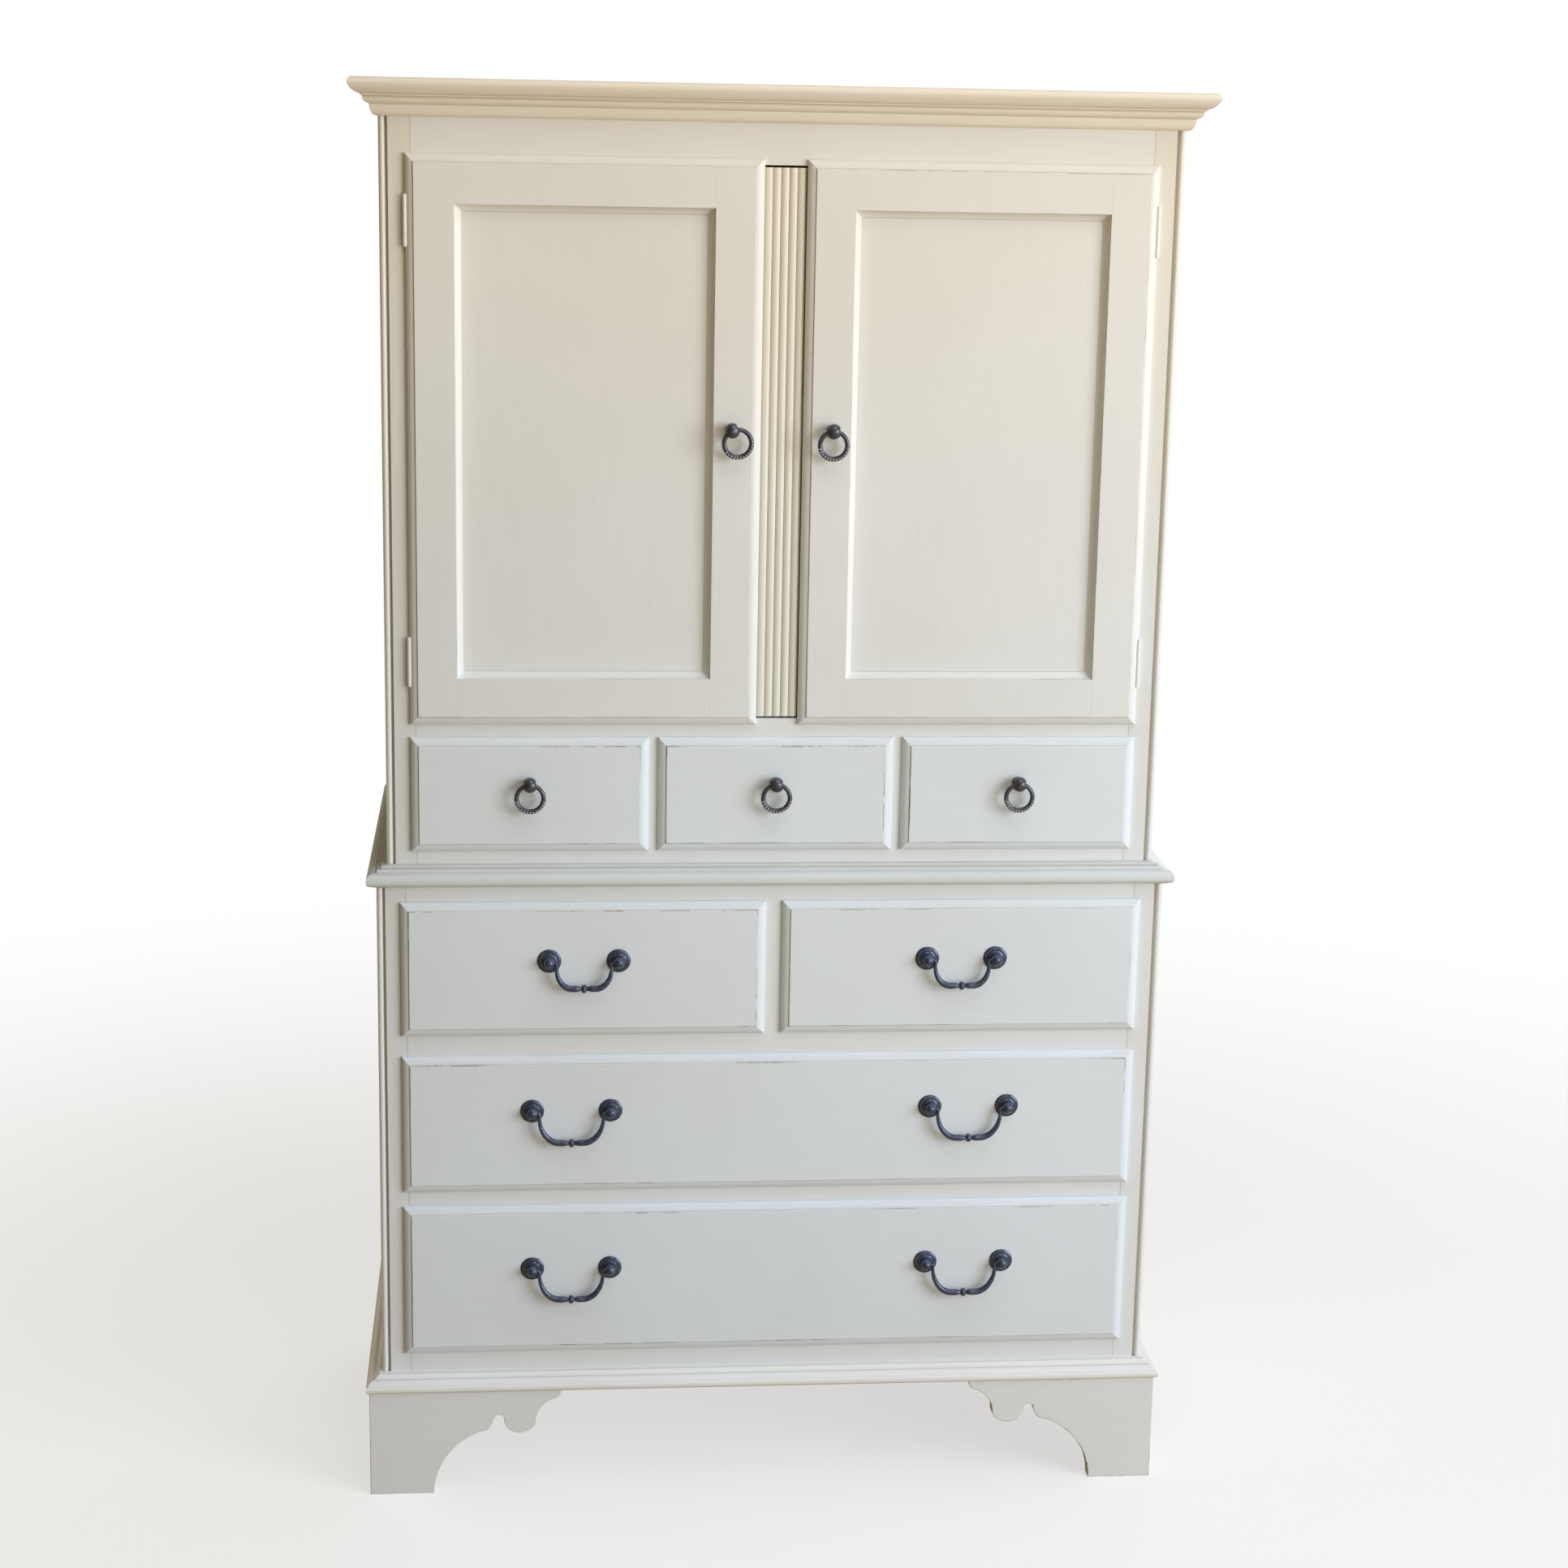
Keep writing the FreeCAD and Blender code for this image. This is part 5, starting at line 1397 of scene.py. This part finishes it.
@dataclass
class Ring:
    """A ring that hangs from a bored ball post, with a row of small beads on its lower half."""

    label: str
    carrier: str  # the body of its post
    post: str  # the post's node
    centre: float  # place of its post across the front
    height: float  # of its hinge axis
    material: Material
    lean: float = 0.0  # how far the post is turned on its stud, in degrees
    axis_y: float = -255.4
    reach: float = 13.0  # from the hinge axis to the front's field
    ball: float = 9.6  # radius of the ball
    wall: float = 13.5  # radius of the bore's arc, which keeps clear of the ring
    neck: float = 4.5
    neck_share: float = 0.7  # where the neck starts, over the ball's radius
    flange: float = 7.5
    radius: float = 17.0  # the ring's radius, to the middle of its wire
    wire: float = 3.0  # radius of its wire
    swell: float = 0.2  # how much stouter the wire is below, and slimmer above
    beads: int = 13
    bead: float = 1.15
    bead_out: float = 0.3  # how far out of the wire's middle a bead lies, in wire radii
    bead_front: float = 0.92  # how far in front of it, in wire radii
    beaded_arc: float = 150.0  # angle over which they lie, in degrees

    def headings(self) -> tuple[np.ndarray, np.ndarray]:
        """Headings from the ball down the leaning ring, and across it."""
        lean = math.radians(self.lean)
        down = np.array([math.sin(lean), 0, -math.cos(lean)])
        return down, np.array([math.cos(lean), 0, math.sin(lean)])

    def build_post(self) -> None:
        """Makes the post: a bored ball on a neck and flange, its stud and its nut.

        The ball is turned about the hinge axis. Its outer arc has the ball's radius, and
        its inner one is about the ring's centre. They meet where the squares of both radii
        agree.
        """
        down, side = self.headings()
        centre = np.array([self.centre, self.axis_y, self.height])
        rim = (self.radius**2 - self.wall**2 + self.ball**2) / (2 * self.radius)
        half = math.sqrt(self.ball**2 - rim**2)
        shell = [
            Corner(rim, -half, (self.ball - rim) / half, ease=0.3),
            Corner(rim, half, (rim - self.radius + self.wall) / half, ease=0.3),
        ]
        start = self.ball * self.neck_share
        neck = [
            Corner(POLE, start),
            Corner(self.neck, start),
            Corner(self.neck, self.reach - 1.8, -0.2),
            Corner(self.flange, self.reach - 1.3, ease=0.3),
            Corner(self.flange, self.reach),
        ]
        surfaces = Stud().surfaces(neck, centre, self.reach)
        surfaces.append(turned(section_of(shell, True, 20), centre, side, down, 56, closed=True))
        name = f"{self.post}_post"
        make_piece(name, self.post, surfaces, self.carrier, self.material)

    def build(self) -> None:
        """Makes the ring: a round bar along a circle, a little stouter below, and its beads.

        Angles are from straight down, and the bar swells with their cosine. A bead's middle
        lies on the bar's surface, at the front and a little outward.
        """
        self.build_post()
        down, side = self.headings()
        middle = np.array([self.centre, self.axis_y, self.height]) + down * self.radius
        angle = np.linspace(0, 2 * math.pi, 72, endpoint=False)[:, None]
        path = middle + self.radius * (np.cos(angle) * down + np.sin(angle) * side)
        radii = self.wire + self.swell * np.cos(angle[:, 0])
        surfaces = [swept(path, radii, Y_WAY, True, 20)]
        half_arc = math.radians(self.beaded_arc / 2)
        dome = np.linspace(-1, 1, 7) * (math.pi / 2 - POLE)
        places = np.stack([np.cos(dome), np.sin(dome)], axis=1) * self.bead
        # The beads' rub mark paints them near white: partly wear, partly a painted highlight
        section = Section(places, np.tile([0.9, 0.0], (len(dome), 1)))
        forward = Y_WAY * (self.bead_front * self.wire)
        for turn in np.linspace(-half_arc, half_arc, self.beads):
            out = math.cos(turn) * down + math.sin(turn) * side
            where = middle + out * (self.radius + self.bead_out * self.wire) - forward
            surfaces.append(turned(section, where, -Y_WAY, out, 8))
        label = self.label
        make_piece(f"{label}_hoop", label, surfaces, label, self.material, 60)


# Nodes that keep their own shape
@dataclass
class KeptNodes:
    """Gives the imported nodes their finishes."""

    finishes: Finishes

    def dress(self) -> None:
        """Chooses a finish by a node's name and puts it on the node's slots."""
        finishes = self.finishes
        by_ending = (
            (("_pulls", "_pull", "_ring", "_bail"), finishes.bronze),
            (("_leaves", "hinge_pins"), finishes.hinge_paint),
            (("_box", "_runners"), finishes.deep_wood),
            (("_boards",), finishes.level_wood),
            (("_back",), finishes.upright_wood),
            (("_panel",), finishes.upright_paint),
            (("",), finishes.level_paint),
        )
        for name, piece in frame["nodes"].items():
            material = next(found for endings, found in by_ending if name.endswith(endings))
            if not piece.material_slots:
                piece.data.materials.append(material)
            for slot in piece.material_slots:
                slot.material = material
        log.info("dressed %d packed nodes", len(frame["nodes"]))


# Studio
@dataclass
class Softbox:
    """A soft square light."""

    name: str
    place: tuple[float, float, float]
    target: tuple[float, float, float]  # what it faces
    power: float  # its power in watts
    size: float  # its side in metres
    color: Tone = (1.0, 1.0, 1.0)

    def build(self) -> None:
        """Makes the light."""
        light = bpy.data.lights.new(self.name, "AREA")
        light.energy = self.power
        light.size = self.size
        light.color = self.color
        lamp = bpy.data.objects.new(self.name, light)
        lamp.location = self.place
        way = Vector(self.target) - Vector(self.place)
        lamp.rotation_euler = way.to_track_quat("-Z", "Y").to_euler()
        bpy.context.scene.collection.objects.link(lamp)


@dataclass
class Studio:
    """The floor, the surrounding light, the lamps and the camera."""

    eye: tuple[float, float, float] = (-0.32837, -3.80901, 1.77901)  # camera's place, in metres
    yaw: float = -5.4247  # its turn about the upright axis, in degrees
    pitch: float = -12.8423  # its tilt up
    roll: float = -1.085  # its turn about its own axis
    lens: float = 66.02  # its focal length, in millimetres
    sensor: float = 36.0  # width of its sensor, in millimetres
    floor_solid: float = 0.9  # how far out the floor starts to fade, in metres
    floor_half: float = 3.0  # how far out it ends
    floor_glow: float = 0.65  # share of its own light that is seen
    floor_bounce: Tone = (0.50, 0.38, 0.19)  # its colour as the chest sees it
    sky_left: Tone = (0.105, 0.075, 0.03)  # light from the left and the middle
    sky_right: Tone = (0.52, 0.515, 0.51)  # light from the right
    sky_turn: float = 0.9  # how far to the right the change ends, from 0 to 1

    def build(self) -> None:
        """Makes the studio."""
        bpy.context.scene.view_settings.view_transform = "Standard"
        self.build_floor()
        self.build_sky()
        for softbox in (
            Softbox("key", (3.9, -3.3, 1.9), (0, -0.25, 0.95), 174, 2.8, (0.88, 0.92, 1.0)),
            Softbox("bounce", (0.6, -2.6, 0.25), (0, -0.25, 1.6), 7, 1.4, (1.0, 0.77, 0.44)),
            Softbox("glint", (0.75, -4.0, 1.9), (0, -0.25, 0.8), 9, 0.25),
            Softbox("left", (-3.2, 1.1, 0.38), (-0.5, 0.05, 1.0), 32, 0.7, (1.0, 0.9, 0.72)),
            Softbox("above", (0.9, -1.9, 4.4), (0.2, -1.2, 0), 47, 2.6, (1.0, 0.99, 0.97)),
            Softbox("behind", (1.5, 4.2, 2.4), (0, 0.2, 0.9), 60, 3.0, (1.0, 0.98, 0.95)),
        ):
            softbox.build()
        self.build_camera()

    def build_floor(self) -> None:
        """Makes a plain pale floor that fades out well away from the chest.

        A part of its own light keeps the shadows on it soft. What it throws back on the
        chest is dimmer and warmer than it looks.
        """
        nodes = Nodes(bpy.data.materials.new("pale_floor"))
        where = nodes.places()
        reach = nodes.add("VectorMath", {"operation": "LENGTH"}, _0=where).outputs[1]
        grey = nodes.ramp(nodes.noise(where, 1.5, 2.0), 0.2, 0.8)
        color = nodes.blend(grey, (0.93, 0.93, 0.925, 1), (0.95, 0.95, 0.945, 1))
        seen = nodes.add("LightPath").outputs["Is Camera Ray"]
        color = nodes.blend(seen, tone(self.floor_bounce), color)
        matt = nodes.add("BsdfPrincipled", Base_Color=color, Roughness=0.8)
        glow = nodes.add("Emission", Color=(0.97, 0.97, 0.965, 1))
        lifted = nodes.product(seen, self.floor_glow)
        pale = nodes.add("MixShader", _0=lifted, _1=matt.outputs[0], _2=glow.outputs[0])
        clear = nodes.add("BsdfTransparent")
        share = nodes.ramp(reach, self.floor_solid, self.floor_half)
        shader = nodes.add("MixShader", _0=share, _1=pale.outputs[0], _2=clear.outputs[0])
        half = self.floor_half
        mesh = bpy.data.meshes.new("floor")
        corners = [(-half, -half, 0), (half, -half, 0), (half, half, 0), (-half, half, 0)]
        mesh.from_pydata(np.array(corners), [], [(0, 1, 2, 3)])
        mesh.materials.append(nodes.finish(shader))
        floor = bpy.data.objects.new("floor", mesh)
        bpy.context.scene.collection.objects.link(floor)

    def build_sky(self) -> None:
        """Makes the light all round: warm and dim from the left, brighter from the right,
        with plain white to be seen behind the chest."""
        world = bpy.data.worlds.new("studio")
        bpy.context.scene.world = world
        nodes = Nodes(world, "OutputWorld")
        heading = nodes.add("TexCoord").outputs["Generated"]
        rightward = nodes.add("SeparateXYZ", _0=heading).outputs[0]
        share = nodes.add("MapRange", Value=rightward, From_Min=0.0, From_Max=self.sky_turn)
        color = nodes.blend(share.outputs[0], tone(self.sky_left), tone(self.sky_right))
        seen = nodes.add("LightPath").outputs["Is Camera Ray"]
        color = nodes.blend(seen, color, (1, 1, 1, 1))
        nodes.finish(nodes.add("Background", Color=color))

    def build_camera(self) -> None:
        """Makes the camera at the photograph's place."""
        data = bpy.data.cameras.new("camera")
        data.sensor_width = self.sensor
        data.lens = self.lens
        camera = bpy.data.objects.new("camera", data)
        heading = (
            Matrix.Rotation(math.radians(self.yaw), 4, "Z")
            @ Matrix.Rotation(math.radians(self.pitch), 4, "X")
            @ Matrix.Rotation(math.radians(self.roll), 4, "Y")
            @ Matrix.Rotation(math.pi / 2, 4, "X")
        )
        camera.matrix_world = Matrix.Translation(self.eye) @ heading
        bpy.context.scene.collection.objects.link(camera)
        bpy.context.scene.camera = camera


# The chest
def build_cases(finishes: Finishes) -> None:
    """Builds both cases, their mouldings and the feet.

    Args:
        finishes: All finishes.
    """
    Carcase(
        LOWER,
        finishes,
        rails=[(144.0, 201.9), (391.7, 427.0), (596.8, 639.5), (802.3, 844.0)],
        dividers=[(-18.25, 18.25, 639.5, 802.3)],
        side_top=844.0,
    ).build()
    Carcase(
        UPPER,
        finishes,
        rails=[(844.0, 881.3), (1014.6, 1045.9), (1734.9, 1830.0)],
        dividers=[(-170.0, -143.0, 881.3, 1014.6), (143.0, 170.0, 881.3, 1014.6)],
        side_top=1810.0,
    ).build()
    Moulding("crown_moulding", UPPER, 1785.0, CROWN, finishes.warm_lit_crown_paint).build()
    Moulding("waist_moulding", UPPER, 829.0, WAIST, finishes.shaded_waist_paint).build()
    Moulding("base_moulding", LOWER, 144.0, BASE, finishes.lit_base_paint).build()
    Feet(finishes.level_paint).build()


def build_drawers(finishes: Finishes) -> None:
    """Builds the drawers' fronts and the pulls that hang on them.

    Args:
        finishes: All finishes.
    """
    paint, bronze = finishes.cool_lit_front_paint, finishes.bronze
    small_pitch, small_width, small_pull = 313.0, 301.0, 963.95
    for hand, place in (("left", -1), ("middle", 0), ("right", 1)):
        label, centre = f"small_{hand}_drawer", place * small_pitch
        left = centre - small_width / 2
        DrawerFront(label, left, small_width, 873.8, 148.3, UPPER.face, paint).build()
        pull = (f"{label}_ring", label, f"{label}_pulls", centre, small_pull)
        Ring(*pull, finishes.ring_bronze).build()
    short_width, short_pull, short_span, short_drop = 467.25, 733.2, 88.9, 34.2
    for hand, left in (("left", -LOWER.front_edge), ("right", LOWER.front_edge - short_width)):
        label, centre = f"short_{hand}_drawer", left + short_width / 2
        DrawerFront(label, left, short_width, 632.0, 177.8, LOWER.face, paint).build()
        BailPosts(label, [centre], short_pull, short_span, bronze).build()
        Bail(f"{label}_bail", centre, short_pull, short_span, short_drop, bronze).build()
    long_place, long_span, width = 260.0, 101.6, 2 * LOWER.front_edge
    for level, bottom, height, pull, drop in (
        ("upper", 419.5, 184.8, 531.1, 40.5),
        ("lower", 194.4, 204.8, 313.6, 39.8),
    ):
        label = f"long_{level}_drawer"
        DrawerFront(
            label, -LOWER.front_edge, width, bottom, height, LOWER.face, paint
        ).build()
        BailPosts(label, [-long_place, long_place], pull, long_span, bronze).build()
        for hand, way in zip(("left", "right"), SIDES):
            Bail(f"{label}_{hand}_bail", long_place * way, pull, long_span, drop, bronze).build()


def build_doors(finishes: Finishes) -> None:
    """Builds the doors' frames, the strip between them and their ring pulls.

    Args:
        finishes: All finishes.
    """
    lip_gap, ring_place, ring_height, left_lean = 26.3, 63.2, 1413.3, 24.0
    DoorFrame("left_door", -UPPER.front_edge, -lip_gap, finishes.upright_paint).build()
    DoorFrame("right_door", lip_gap, UPPER.front_edge, finishes.upright_paint).build()
    MeetingStrip(finishes.shaded_strip_paint).build()
    for hand, way, lean in (("left", -1, left_lean), ("right", 1, 0.0)):
        door = f"{hand}_door"
        pull = (f"{door}_ring", door, f"{door}_pull", ring_place * way, ring_height)
        Ring(*pull, finishes.ring_bronze, lean).build()


def main() -> None:
    """Builds the studio and dresses the chest."""
    logging.basicConfig(level=logging.INFO, format="%(name)s: %(message)s")
    Studio().build()
    finishes = Finishes()
    KeptNodes(finishes).dress()
    build_cases(finishes)
    build_drawers(finishes)
    build_doors(finishes)


if __name__ == "__main__":
    main()
